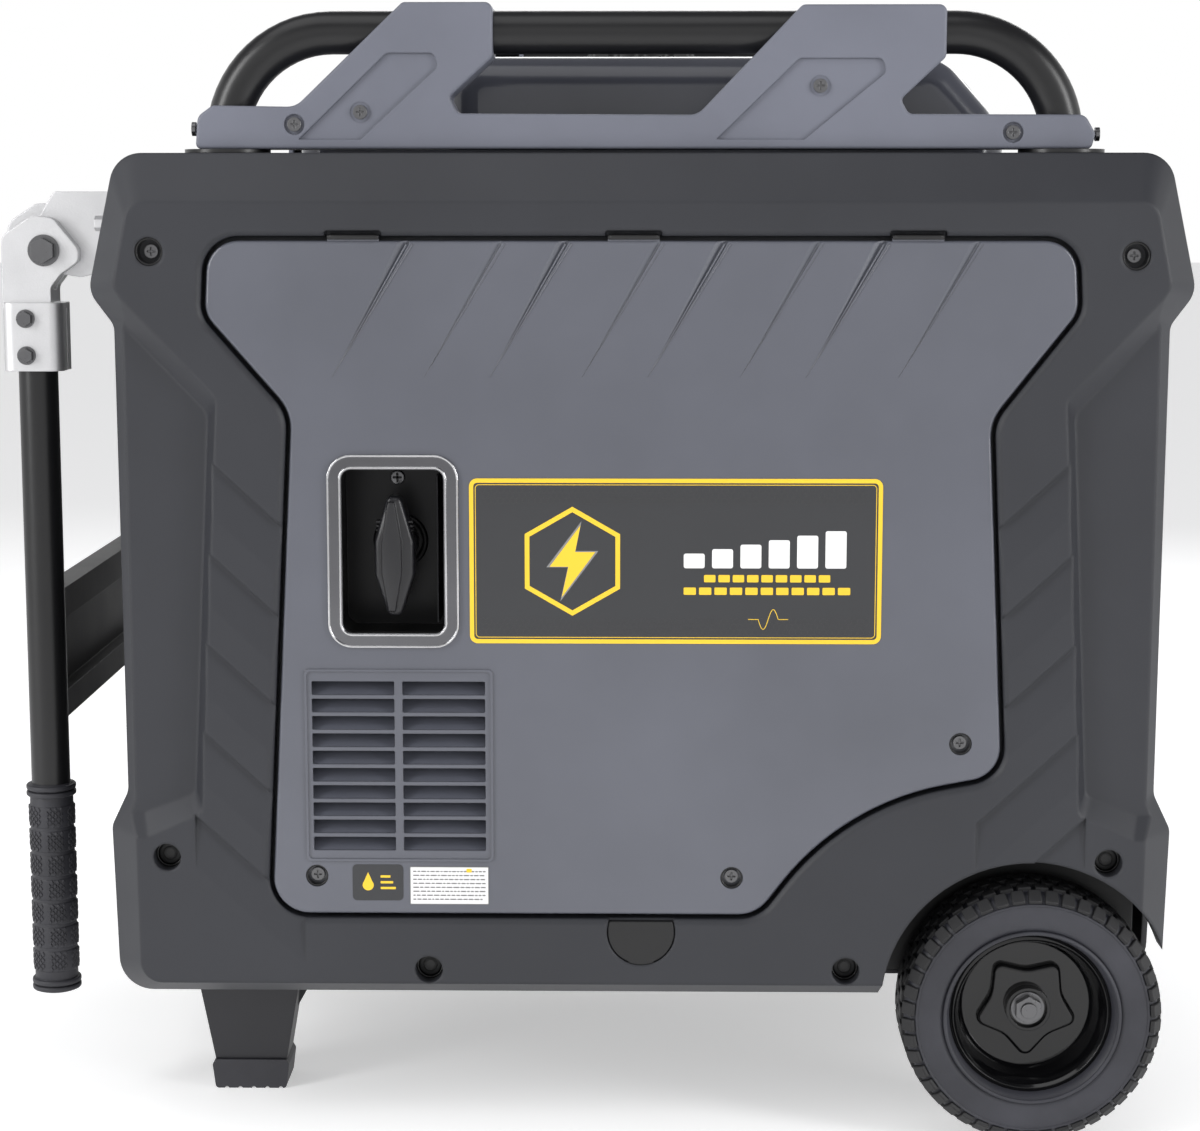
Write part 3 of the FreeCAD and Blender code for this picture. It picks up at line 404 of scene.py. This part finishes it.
def plate(x0, x1, z0, z1, radius, front, back, ring=0.0):
    """Flat rounded plate across Y, or a frame of that width with nothing inside it."""
    deselect()
    bpy.ops.mesh.primitive_plane_add(size=1, location=((x0 + x1) / 2, back, (z0 + z1) / 2),
                                     rotation=(math.pi / 2, 0, 0))
    piece = bpy.context.object
    piece.scale = (x1 - x0, z1 - z0, 1)
    settle(piece)
    edit(piece)
    bpy.ops.mesh.select_all(action="SELECT")
    if radius:
        bpy.ops.mesh.bevel(offset=radius, segments=8, affect="VERTICES")
    if ring:
        bpy.ops.mesh.select_all(action="SELECT")
        bpy.ops.mesh.inset(thickness=ring, depth=0)
        bpy.ops.mesh.delete(type="FACE")
        bpy.ops.mesh.select_all(action="SELECT")
    bpy.ops.mesh.extrude_region_move(TRANSFORM_OT_translate={"value": (0, front - back, 0)})
    bpy.ops.mesh.select_all(action="SELECT")
    bpy.ops.mesh.normals_make_consistent(inside=False)
    return settle(piece)


def as_mesh(curve):
    """Put a curve in the scene and turn it into a mesh."""
    piece = bpy.data.objects.new(curve.name, curve)
    bpy.context.collection.objects.link(piece)
    pick(piece)
    bpy.ops.object.convert(target="MESH")
    return bpy.context.object


def flat_shape(corners, front, back):
    """Flat shape across Y through (x, z) corners."""
    curve = bpy.data.curves.new("flat_shape", "CURVE")
    curve.dimensions = "2D"
    curve.fill_mode = "BOTH"
    curve.extrude = abs(back - front) / 2
    spline = curve.splines.new("POLY")
    spline.points.add(len(corners) - 1)
    for spot, (x, z) in zip(spline.points, corners):
        spot.co = (x, z, 0, 1)
    spline.use_cyclic_u = True
    piece = as_mesh(curve)
    piece.rotation_euler = (math.pi / 2, 0, 0)
    piece.location = (0, (front + back) / 2, 0)
    return settle(piece)


def wire(spots, radii):
    """Round wire through points, with a radius at each."""
    curve = bpy.data.curves.new("wire", "CURVE")
    curve.dimensions = "3D"
    curve.bevel_depth = 1.0
    curve.bevel_resolution = 2
    curve.use_fill_caps = True
    spline = curve.splines.new("POLY")
    spline.points.add(len(spots) - 1)
    for spot, place, radius in zip(spline.points, spots, radii):
        spot.co = (*place, 1)
        spot.radius = radius
    return as_mesh(curve)


def copied(piece, matrix):
    """Copy with its own mesh, moved by a matrix."""
    other = piece.copy()
    other.data = piece.data.copy()
    bpy.context.collection.objects.link(other)
    other.data.transform(matrix)
    return other


def turned(piece, axis, centre, angle):
    there, back = Matrix.Translation(centre), Matrix.Translation(-Vector(centre))
    return copied(piece, there @ Matrix.Rotation(angle, 4, axis.upper()) @ back)


def moved(piece, shift):
    return copied(piece, Matrix.Translation(shift))


def mirrored(piece):
    """Copy on the far side of the object, turned right side out again."""
    other = copied(piece, Matrix.Diagonal((1, -1, 1, 1)))
    other.data.flip_normals()
    return other


def joined(pieces):
    deselect()
    for piece in pieces:
        piece.select_set(True)
    bpy.context.view_layer.objects.active = pieces[0]
    bpy.ops.object.join()
    return bpy.context.object


def coloured(piece, material):
    piece.data.materials.clear()
    piece.data.materials.append(material)
    return piece


def soften(piece, width, segments):
    """Round a piece's sharp edges with an applied bevel."""
    pick(piece)
    bevel = piece.modifiers.new("soften", "BEVEL")
    bevel.width = width
    bevel.segments = segments
    bevel.limit_method = "ANGLE"
    bpy.ops.object.modifier_apply(modifier="soften")


def fitted(piece, name, body, replaces=(), angle=35):
    """Name a finished piece, smooth it and fasten it to its body."""
    piece.name = name
    piece.data.name = name
    pick(piece)
    bpy.ops.object.shade_smooth_by_angle(angle=math.radians(angle))
    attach(piece, body)
    if replaces:
        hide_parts(*replaces)
    return piece


def solid_boxes(name):
    """Corners of each separate solid of a CAD node, left to right."""
    source = nodes[name]
    twin = source.copy()
    twin.data = source.data.copy()
    twin.parent = None
    bpy.context.collection.objects.link(twin)
    edit(twin)
    bpy.ops.mesh.select_all(action="SELECT")
    bpy.ops.mesh.remove_doubles(threshold=MERGE)
    bpy.ops.mesh.separate(type="LOOSE")
    bpy.ops.object.mode_set(mode="OBJECT")
    boxes = []
    for part in list(bpy.context.selected_objects):
        spots = [vertex.co for vertex in part.data.vertices]
        low = Vector([min(spot[k] for spot in spots) for k in range(3)])
        high = Vector([max(spot[k] for spot in spots) for k in range(3)])
        boxes.append((low, high))
        bpy.data.objects.remove(part)
    return sorted(boxes, key=lambda corners: (corners[0].y, corners[0].x))


# ---------- wheels ----------

def tyre(side):
    """Carcass spun from a rounded section, with staggered tread blocks and sidewall ribs."""
    low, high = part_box("tyre_" + side)
    centre = (low + high) / 2
    radius = (high.z - low.z) / 2
    half = (high.y - low.y) / 2
    bead = radius * 0.62
    crown = radius * 0.972
    deselect()
    bpy.ops.mesh.primitive_plane_add(size=1, location=(centre.x + (bead + crown) / 2, centre.y, centre.z))
    carcass = bpy.context.object
    carcass.scale = (crown - bead, half * 1.96, 1)
    settle(carcass)
    edit(carcass)
    bpy.ops.mesh.select_all(action="SELECT")
    bpy.ops.mesh.bevel(offset=radius * 0.125, segments=7, affect="VERTICES")
    bpy.ops.mesh.delete(type="ONLY_FACE")
    bpy.ops.mesh.select_all(action="SELECT")
    bpy.ops.mesh.spin(steps=96, angle=math.tau, center=centre, axis=(0, 1, 0))
    bpy.ops.mesh.select_all(action="SELECT")
    bpy.ops.mesh.remove_doubles(threshold=0.00005)
    bpy.ops.mesh.normals_make_consistent(inside=False)
    settle(carcass)
    coloured(carcass, tyre_rubber)
    ribs = []
    for away in (-1, 1):
        for ring, thickness in ((0.665, 0.0016), (0.885, 0.0011)):
            spot = (centre.x, centre.y + away * half * 0.965, centre.z)
            ribs.append(coloured(hoop("y", spot, radius * ring, thickness, 96, 8), tyre_rubber))
    tread = tread_blocks(centre, radius, half)
    wheel = joined([carcass] + ribs + tread)
    return fitted(wheel, "treaded_tyre_" + side, "wheel_" + side, ["tyre_" + side], 40)


def tread_blocks(centre, radius, half):
    """Five staggered rows of tread blocks; the outer rows lean over the shoulders."""
    count = 46
    length, deep, wide = 0.0098, radius * 0.06, half * 0.38
    lean = math.radians(38)
    blocks = []
    for row in range(-2, 3):
        shoulder = abs(row) == 2
        across = half * (0.43 * row if not shoulder else math.copysign(0.845, row))
        reach = radius * (0.955 if not shoulder else 0.93)
        tall = deep * (0.72 if not shoulder else 0.6)
        tooth = block((-length / 2, -wide / 2, 0), (length / 2, wide / 2, tall), 0.0007, 1)
        if shoulder:
            tooth.data.transform(Matrix.Rotation(-math.copysign(lean, row), 4, "X"))
        tooth.data.transform(Matrix.Translation((centre.x, centre.y + across, centre.z + reach)))
        coloured(tooth, tread_rubber)
        for k in range(count):
            angle = math.tau * (k + 0.5 * (row % 2)) / count
            blocks.append(turned(tooth, "y", centre, angle))
        bpy.data.objects.remove(tooth)
    return blocks


# ---------- pull handle ----------

def handle_grip(low, high, side):
    """Rubber sleeve: seven raised bands of diamond studs between ringed ends."""
    centre = (low + high) / 2
    outer = (high.x - low.x) / 2
    core = outer * 0.87
    length = high.z - low.z
    sleeve = drum("z", centre, core, length - 0.001, 48, 0.0015)
    parts = [sleeve]
    ring_inset, ring_pitch, plain_end = 0.0035, 0.005, 0.0165
    for end in (low.z + ring_inset, low.z + ring_inset + ring_pitch):
        parts.append(drum("z", (centre.x, centre.y, end), outer * 0.99, 0.0042, 48, 0.0014))
    for end in (high.z - ring_inset - ring_pitch, high.z - ring_inset):
        parts.append(drum("z", (centre.x, centre.y, end), outer, 0.0042, 48, 0.0014))
    first, bands, rows, columns = low.z + plain_end, 7, 6, 24
    pitch = (length - 2 * plain_end) / bands
    stud = block((-0.0011, -0.0008, -0.0011), (0.0011, 0.0005, 0.0011), 0)
    stud.data.transform(Matrix.Rotation(math.pi / 4, 4, "Y"))
    stud.data.transform(Matrix.Diagonal((0.85, 1, 1.25, 1)))
    stud.data.transform(Matrix.Translation((centre.x, centre.y - core * 1.03, 0)))
    for k in range(bands):
        middle = first + pitch * (k + 0.5)
        parts.append(drum("z", (centre.x, centre.y, middle), core * 1.035, pitch * 0.86, 48, 0.0009))
        for row in range(rows):
            height = middle + pitch * 0.125 * (row - (rows - 1) / 2)
            for column in range(columns):
                if column % 4 == 3:
                    continue
                angle = math.tau * (column + 0.5 * (row % 2)) / columns
                spot = turned(stud, "z", (centre.x, centre.y, 0), angle)
                spot.data.transform(Matrix.Translation((0, 0, height)))
                parts.append(spot)
    bpy.data.objects.remove(stud)
    for part in parts:
        coloured(part, grip_rubber)
    return fitted(joined(parts), "grip_sleeve_" + side, "handle", angle=30)


def handle_grips():
    (left_low, left_high), (right_low, right_high) = solid_boxes("handle_grips")
    left = handle_grip(left_low, left_high, "left")
    right = handle_grip(right_low, right_high, "right")
    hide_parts("handle_grips")
    return left, right


# ---------- recoil starter ----------

def recoil_handle():
    """Pull grip: a long diamond body with a raised ridge on its face."""
    low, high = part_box("recoil_grip")
    centre = (low + high) / 2
    half_wide, half_high = (high.x - low.x) / 2, (high.z - low.z) / 2

    def diamond(wide, tall, aside=0.0):
        right = [(wide * 0.34, -tall), (wide, -tall * 0.3), (wide, tall * 0.24), (wide * 0.34, tall)]
        left = [(-x, z) for x, z in reversed(right)]
        return [(centre.x + aside + x, centre.z + z) for x, z in right + left]

    body = flat_shape(diamond(half_wide, half_high * 0.985), low.y + 0.004, low.y + 0.027)
    ridge = flat_shape(diamond(half_wide * 0.5, half_high * 0.9, -half_wide * 0.12),
                       low.y + 0.0012, low.y + 0.006)
    for part, width, segments in ((body, 0.0042, 5), (ridge, 0.0012, 2)):
        edit(part)
        bpy.ops.mesh.select_all(action="SELECT")
        bpy.ops.mesh.remove_doubles(threshold=MERGE)
        bpy.ops.object.mode_set(mode="OBJECT")
        soften(part, width, segments)
    rope_z = centre.z + 0.005
    neck_length = high.y - low.y - 0.022
    neck = drum("y", (centre.x, (low.y + 0.02 + high.y) / 2, rope_z), 0.009, neck_length, 32, 0.0015)
    collar = drum("y", (centre.x, high.y - 0.009, rope_z), 0.0145, 0.010, 36, 0.0025)
    notches = []
    for k in range(5):
        foot = centre.z + 0.012 + 0.0032 * k
        notches.append(block((centre.x - half_wide * 0.93, low.y + 0.009, foot),
                             (centre.x + half_wide * 0.93, low.y + 0.019, foot + 0.0016), 0.0004, 1))
    parts = [coloured(part, grip_plastic) for part in [body, ridge, neck, collar] + notches]
    return fitted(joined(parts), "recoil_handle", "recoil_grip", ["recoil_grip"], 30)


def recoil_trim():
    """Screw, rope guide and mould rib inside the pocket."""
    low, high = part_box("recoil_pocket")
    centre = (low + high) / 2
    back = high.y - 0.003
    screw_x, screw_z = centre.x - 0.002, high.z - 0.019
    screw = drum("y", (screw_x, back - 0.0015, screw_z), 0.0055, 0.003, 32, 0.0009)
    cross = [block((screw_x - a, back - 0.0034, screw_z - b),
                   (screw_x + a, back - 0.0026, screw_z + b), 0.0001, 1)
             for a, b in ((0.0032, 0.0006), (0.0006, 0.0032))]
    coloured(screw, dark_steel)
    for arm in cross:
        coloured(arm, dark_plastic)
    fitted(joined([screw] + cross), "pocket_screw", "root")
    guide = hoop("y", (centre.x, back - 0.001, centre.z), 0.019, 0.0022, 48, 10)
    cone = tube("y", (centre.x, back - 0.0008, centre.z), 0.0165, 0.0085, 0.0016, 48)
    rib = block((high.x - 0.0135, low.y + 0.008, low.z + 0.012),
                (high.x - 0.0120, back, high.z - 0.012), 0.0005, 1)
    clip = block((high.x - 0.017, back - 0.012, centre.z + 0.006),
                 (high.x - 0.004, back - 0.008, centre.z + 0.009), 0.0008)
    for part in (guide, cone, rib, clip):
        coloured(part, pocket_plastic)
    fitted(joined([guide, cone, rib, clip]), "rope_guide", "root")


def bezel_trim():
    """Chrome bezel: a flat frame in darkened chrome, painted dark reflection, between a bright outer and
    inner bead.
    """
    low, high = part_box("recoil_bezel")
    face = low.y
    deep = face + 0.0025
    corner, bead, step = 0.018, 0.0016, 0.0088
    frame_part = plate(low.x, high.x, low.z, high.z, corner, face + 0.0009, deep, 0.011)
    outer = plate(low.x, high.x, low.z, high.z, corner, face, deep, bead)
    inner = plate(low.x + step, high.x - step, low.z + step, high.z - step, 0.0095, face, face + 0.014, bead)
    # The flat frame's darker chrome is painted dark reflection, not a different finish.
    coloured(frame_part, chrome_painted_dark_reflection)
    for part in (outer, inner):
        soften(coloured(part, chrome), 0.0006, 3)
    return fitted(joined([frame_part, outer, inner]), "bezel_trim", "root", ["recoil_bezel"], 40)


# ---------- labels ----------

def main_label(low, high):
    """Dark panel with a yellow border, hexagon trim, a bolt badge, a bar gauge and a sine wave."""
    face, back = low.y, high.y
    corner, border, line = 0.006, 0.0032, 0.0044
    ground = plate(low.x, high.x, low.z, high.z, corner, face + 2 * STACK, back)
    edge = plate(low.x, high.x, low.z, high.z, corner, face, back, border)
    hairline = plate(low.x + line, high.x - line, low.z + line, high.z - line, 0.003,
                     face + STACK, back, 0.0005)
    parts = [coloured(ground, label_ink), coloured(edge, label_yellow), coloured(hairline, label_yellow)]
    parts += hexagon_trim(low, high, face + STACK, back)
    parts += bolt_badge(low, high, face, back)
    parts += bar_gauge(low, high, face, back)
    return fitted(joined(parts), "main_label", "root", angle=30)


def hexagon_outline(centre, radius, wide, rise):
    """Hexagon across Y with an open middle, raised along Y."""
    deselect()
    bpy.ops.mesh.primitive_circle_add(vertices=6, radius=radius, fill_type="NGON", location=centre,
                                      rotation=TURNS["y"])
    ring = settle(bpy.context.object)
    edit(ring)
    bpy.ops.mesh.select_all(action="SELECT")
    bpy.ops.mesh.inset(thickness=wide, depth=0)
    bpy.ops.mesh.delete(type="FACE")
    bpy.ops.mesh.select_all(action="SELECT")
    bpy.ops.mesh.extrude_region_move(TRANSFORM_OT_translate={"value": (0, rise, 0)})
    bpy.ops.mesh.select_all(action="SELECT")
    bpy.ops.mesh.normals_make_consistent(inside=False)
    return settle(ring)


def hexagon_trim(low, high, face, back):
    """Three rows of small hexagon outlines along the top and bottom edges."""
    cell = 0.0026
    pitch = cell * 1.78
    ring = hexagon_outline((0, 0, 0), cell, 0.00045, face - back + 2 * STACK)
    coloured(ring, label_pattern)
    count = int((high.x - low.x - 0.014) / pitch)
    rings = []
    for row in range(3):
        for k in range(count - row % 2):
            x = low.x + 0.0095 + pitch * (k + 0.5 * (row % 2))
            for z in (high.z - 0.0085 - 0.0042 * row, low.z + 0.0085 + 0.0042 * row):
                rings.append(moved(ring, (x, back - 2 * STACK, z)))
    bpy.data.objects.remove(ring)
    return rings


def bolt_badge(low, high, face, back):
    """Lightning bolt in a yellow hexagon outline, at the label's left."""
    x, z = low.x + (high.x - low.x) * 0.25, (low.z + high.z) / 2
    ring = coloured(hexagon_outline((x, back, z), 0.041, 0.0035, face - back), label_yellow)
    bolt = [(0.006, 0.027), (-0.017, -0.004), (-0.003, -0.004),
            (-0.008, -0.027), (0.017, 0.007), (0.002, 0.007)]
    edge = flat_shape([(x + 1.14 * a, z + 1.12 * b) for a, b in bolt], face + STACK, back)
    core = flat_shape([(x + a, z + b) for a, b in bolt], face, back)
    return [ring, coloured(edge, label_grey), coloured(core, label_yellow)]


def bar_gauge(low, high, face, back):
    """Six white bars rising to the right, two dashed yellow rules and a sine wave under them."""
    left, right = low.x + (high.x - low.x) * 0.52, high.x - 0.021
    base = low.z + (high.z - low.z) * 0.46
    bars = 6
    step = (right - left) / bars
    parts = []
    for k in range(bars):
        tall = 0.011 + 0.0034 * k
        x = left + step * k
        parts.append(coloured(plate(x, x + step * 0.74, base, base + tall, 0.0016, face, back), label_white))
    for row, (start, count) in enumerate(((0.12, 9), (0.0, 11))):
        dash = (right - left) * (1 - 2 * start) / count
        for k in range(count):
            x = left + (right - left) * start + dash * k
            z = base - 0.0105 - 0.0095 * row
            parts.append(coloured(plate(x, x + dash * 0.8, z, z + 0.0055, 0.0008, face, back), label_yellow))
    parts.append(sine_wave((left + right) / 2, face, low.z + 0.0185))
    return parts


def sine_wave(middle, face, height):
    """One full wave with a flat lead on each side."""
    span, swing, thick, steps = 0.030, 0.0075, 0.00035, 48
    spots = []
    for k in range(steps + 1):
        t = k / steps
        wave = -math.sin(math.tau * (t - 0.25) * 2) if 0.25 <= t <= 0.75 else 0.0
        spots.append((middle + span * (t - 0.5), face + thick, height + swing * wave))
    return coloured(wire(spots, [thick] * len(spots)), label_yellow)


def oil_label(low, high):
    """Small dark label with a drop and a dipstick level in yellow."""
    face, back = low.y, high.y
    x, z = (low.x + high.x) / 2, (low.z + high.z) / 2
    parts = [coloured(plate(low.x, high.x, low.z, high.z, 0.0035, face + STACK, back), label_ink)]
    drop_radius = 0.0042
    drop = [(drop_radius * math.cos(t), drop_radius * math.sin(t) - 0.002) for t in
            (math.radians(-220 + 13 * k) for k in range(21))] + [(0, 0.008)]
    parts.append(coloured(flat_shape([(x - 0.0075 + a, z + b) for a, b in drop], face, back), label_yellow))
    for k in range(3):
        rise = z - 0.0052 + 0.0045 * k
        rule = plate(x + 0.002, x + 0.0135 - 0.002 * k, rise, rise + 0.0018, 0.0004, face, back)
        parts.append(coloured(rule, label_yellow))
    return fitted(joined(parts), "oil_label", "root", angle=30)


def data_label(low, high):
    """White label with rows of short grey rules and no words."""
    face, back = low.y, high.y
    rule_lengths = random.Random(7)
    margin, gap, row_pitch = 0.0025, 0.0008, 0.0031
    parts = [coloured(plate(low.x, high.x, low.z, high.z, 0.001, face + STACK, back), label_white),
             coloured(plate(low.x, high.x, low.z, high.z, 0.001, face + STACK / 2, back, 0.0006), label_grey)]
    for row in range(8):
        z = high.z - 0.0032 - row_pitch * row
        x = low.x + margin
        while x < high.x - 0.0045:
            end = min(x + rule_lengths.uniform(0.0015, 0.0048), high.x - margin)
            parts.append(coloured(plate(x, end, z - 0.0011, z, 0.0, face, back), label_grey))
            x = end + gap
    mark = plate(high.x - 0.017, high.x - 0.013, high.z - 0.0045, high.z - 0.0015, 0.0004,
                 face - STACK / 2, back)
    parts.append(coloured(mark, label_yellow))
    return fitted(joined(parts), "data_label", "root", angle=30)


def labels():
    """The three labels, told apart by width."""
    oil, data, main = sorted(solid_boxes("labels"), key=lambda corners: corners[1].x - corners[0].x)
    panel = main_label(*main)
    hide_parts("labels")
    oil_label(*oil)
    data_label(*data)


# ---------- screw wells ----------

def screw_head(low, high):
    """Middle of a side screw, which way along Y it faces, and where its head ends."""
    centre = (low + high) / 2
    return (centre, -1, low.y) if centre.y < 0 else (centre, 1, high.y)


def screw_well_shade():
    """Gloss black lining inside each screw well of the side frames and doors, painted shade of the recess."""
    well_shade_linings = []
    sizes = {"frame_screws": (0.0104, 0.0016, 0.012), "door_screws": (0.0084, 0.0012, 0.0068)}
    for node, (reach, wall, deep) in sizes.items():
        for low, high in solid_boxes(node):
            centre, outwards, head = screw_head(low, high)
            spot = (centre.x, head + outwards * (deep / 2 - 0.003), centre.z)
            # The black lining paints the shade inside the well.
            well_shade_linings.append(coloured(tube("y", spot, reach, reach - wall, deep), gloss_black))
    return fitted(joined(well_shade_linings), "screw_well_shade", "root")


def well_plugs():
    """Matt rubber plugs that close the side frames' four lower screw wells."""
    plugs = []
    plugged_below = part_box("base_tray")[1].z + 0.13
    for low, high in solid_boxes("frame_screws"):
        centre, outwards, head = screw_head(low, high)
        if centre.z > plugged_below:
            continue
        spot = (centre.x, head + outwards * 0.0055, centre.z)
        plug = drum("y", spot, 0.0087, 0.003, 32, 0.0007)
        dimple = hoop("y", (spot[0], spot[1] + outwards * 0.0013, spot[2]), 0.0045, 0.0006, 28, 6)
        plugs.append(coloured(plug, dark_plastic))
        plugs.append(coloured(dimple, dark_plastic))
    return fitted(joined(plugs), "well_plugs", "root")


# ---------- service door ----------

def tapered_bead(start, end, thick, material):
    """Half-sunk bead that thins towards its lower end."""
    steps, thinned = 8, 0.6
    shares = [k / steps for k in range(steps + 1)]
    spots = [Vector(start).lerp(Vector(end), share) for share in shares]
    return coloured(wire(spots, [thick * (1 - thinned * share) for share in shares]), material)


def slash_beads(side):
    """Rolled edges of the slash grooves below the door's top edge."""
    low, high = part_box("service_door" if side < 0 else "right_side_cover")
    face = DOOR_FACE * side
    middle = (low.x + high.x) / 2
    top, tip, lean, pitch = high.z - 0.0065, high.z - 0.104, 0.0605, 0.1165
    sharp, soft = (-0.167, 0.0045, 0.00075), (-0.099, 0.004, 0.00035)
    beads = []
    for k in range(4):
        for first, wide, thick in (sharp, soft):
            x = middle + first + pitch * k
            for start in (x - wide, x):
                beads.append(tapered_bead((start, face, top), (x - lean, face, tip), thick, cover_plastic))
    name = "left" if side < 0 else "right"
    return fitted(joined(beads), "slash_beads_" + name, "root", angle=50)


def door_tab_shade():
    """Dark blocks with rods over the three tabs along the top edge of each door, painted shade of the gaps at
    the tabs.
    """
    low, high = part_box("service_door")
    middle, half_tab = (low.x + high.x) / 2, 0.019
    tab_shades = []
    for place in (-0.211, -0.005, 0.203):
        x = middle + place
        # Dark plastic blocks and rods: painted shade of the gaps at the door's tabs.
        body = block((x - half_tab, -DOOR_FACE - 0.0008, high.z - 0.0032),
                     (x + half_tab, -DOOR_FACE + 0.004, high.z + 0.0001), 0.0008)
        shade_rod = drum("x", (x, -DOOR_FACE + 0.001, high.z - 0.0008), 0.0017, 0.034, 20, 0.0004)
        tab_shades += [coloured(body, dark_plastic), coloured(shade_rod, dark_plastic)]
    tab_shades += [mirrored(tab_shade) for tab_shade in tab_shades]
    return fitted(joined(tab_shades), "door_tab_shade", "root")


# ---------- control panel ----------

def panel_details():
    """Display, three lamps and an earth terminal with a wing nut."""
    low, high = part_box("control_panel")
    face = low.x
    width, height = high.y - low.y, high.z - low.z
    y, z = low.y + width * 0.62, low.z + height * 0.74
    frame_part = block((face - 0.003, y - 0.034, z - 0.022), (face + 0.0005, y + 0.034, z + 0.022), 0.0012)
    glass = block((face - 0.0036, y - 0.028, z - 0.016), (face - 0.0028, y + 0.028, z + 0.016), 0.0003, 1)
    coloured(frame_part, control_plastic)
    coloured(glass, screen_glass)
    digits = []
    for k in range(4):
        left = y - 0.02 + 0.011 * k
        digit = block((face - 0.0038, left, z - 0.008), (face - 0.0035, left + 0.007, z + 0.008))
        digits.append(coloured(digit, label_grey))
    fitted(joined([frame_part, glass] + digits), "panel_display", "root")
    lamps = []
    for k, tint in enumerate((green_plastic, label_yellow, label_yellow)):
        spot = (face - 0.0015, y + 0.05, z + 0.014 - 0.014 * k)
        lamps.append(coloured(drum("x", spot, 0.0032, 0.005, 24, 0.001), tint))
        lamps.append(coloured(hoop("x", (face - 0.0006, spot[1], spot[2]), 0.0042, 0.0009, 32, 8), chrome))
    fitted(joined(lamps), "panel_lamps", "root")
    post = (face - 0.008, low.y + width * 0.94, low.z + height * 0.1)
    stud = drum("x", post, 0.003, 0.018, 24, 0.0006)
    nut = drum("x", (face - 0.004, post[1], post[2]), 0.0075, 0.006, 6, 0.0006)
    wings = [block((face - 0.014, post[1] + side * 0.003, post[2] - 0.001),
                   (face - 0.007, post[1] + side * 0.013, post[2] + 0.001), 0.0005) for side in (-1, 1)]
    terminal = [coloured(part, brass) for part in [stud, nut] + wings]
    fitted(joined(terminal), "earth_terminal", "root")


add_camera()
add_floor()
add_lights()
finish_nodes()
tyre("left")
tyre("right")
handle_grips()
recoil_handle()
recoil_trim()
bezel_trim()
labels()
screw_well_shade()
well_plugs()
slash_beads(-1)
slash_beads(1)
door_tab_shade()
panel_details()
bpy.context.scene.view_settings.view_transform = "Standard"
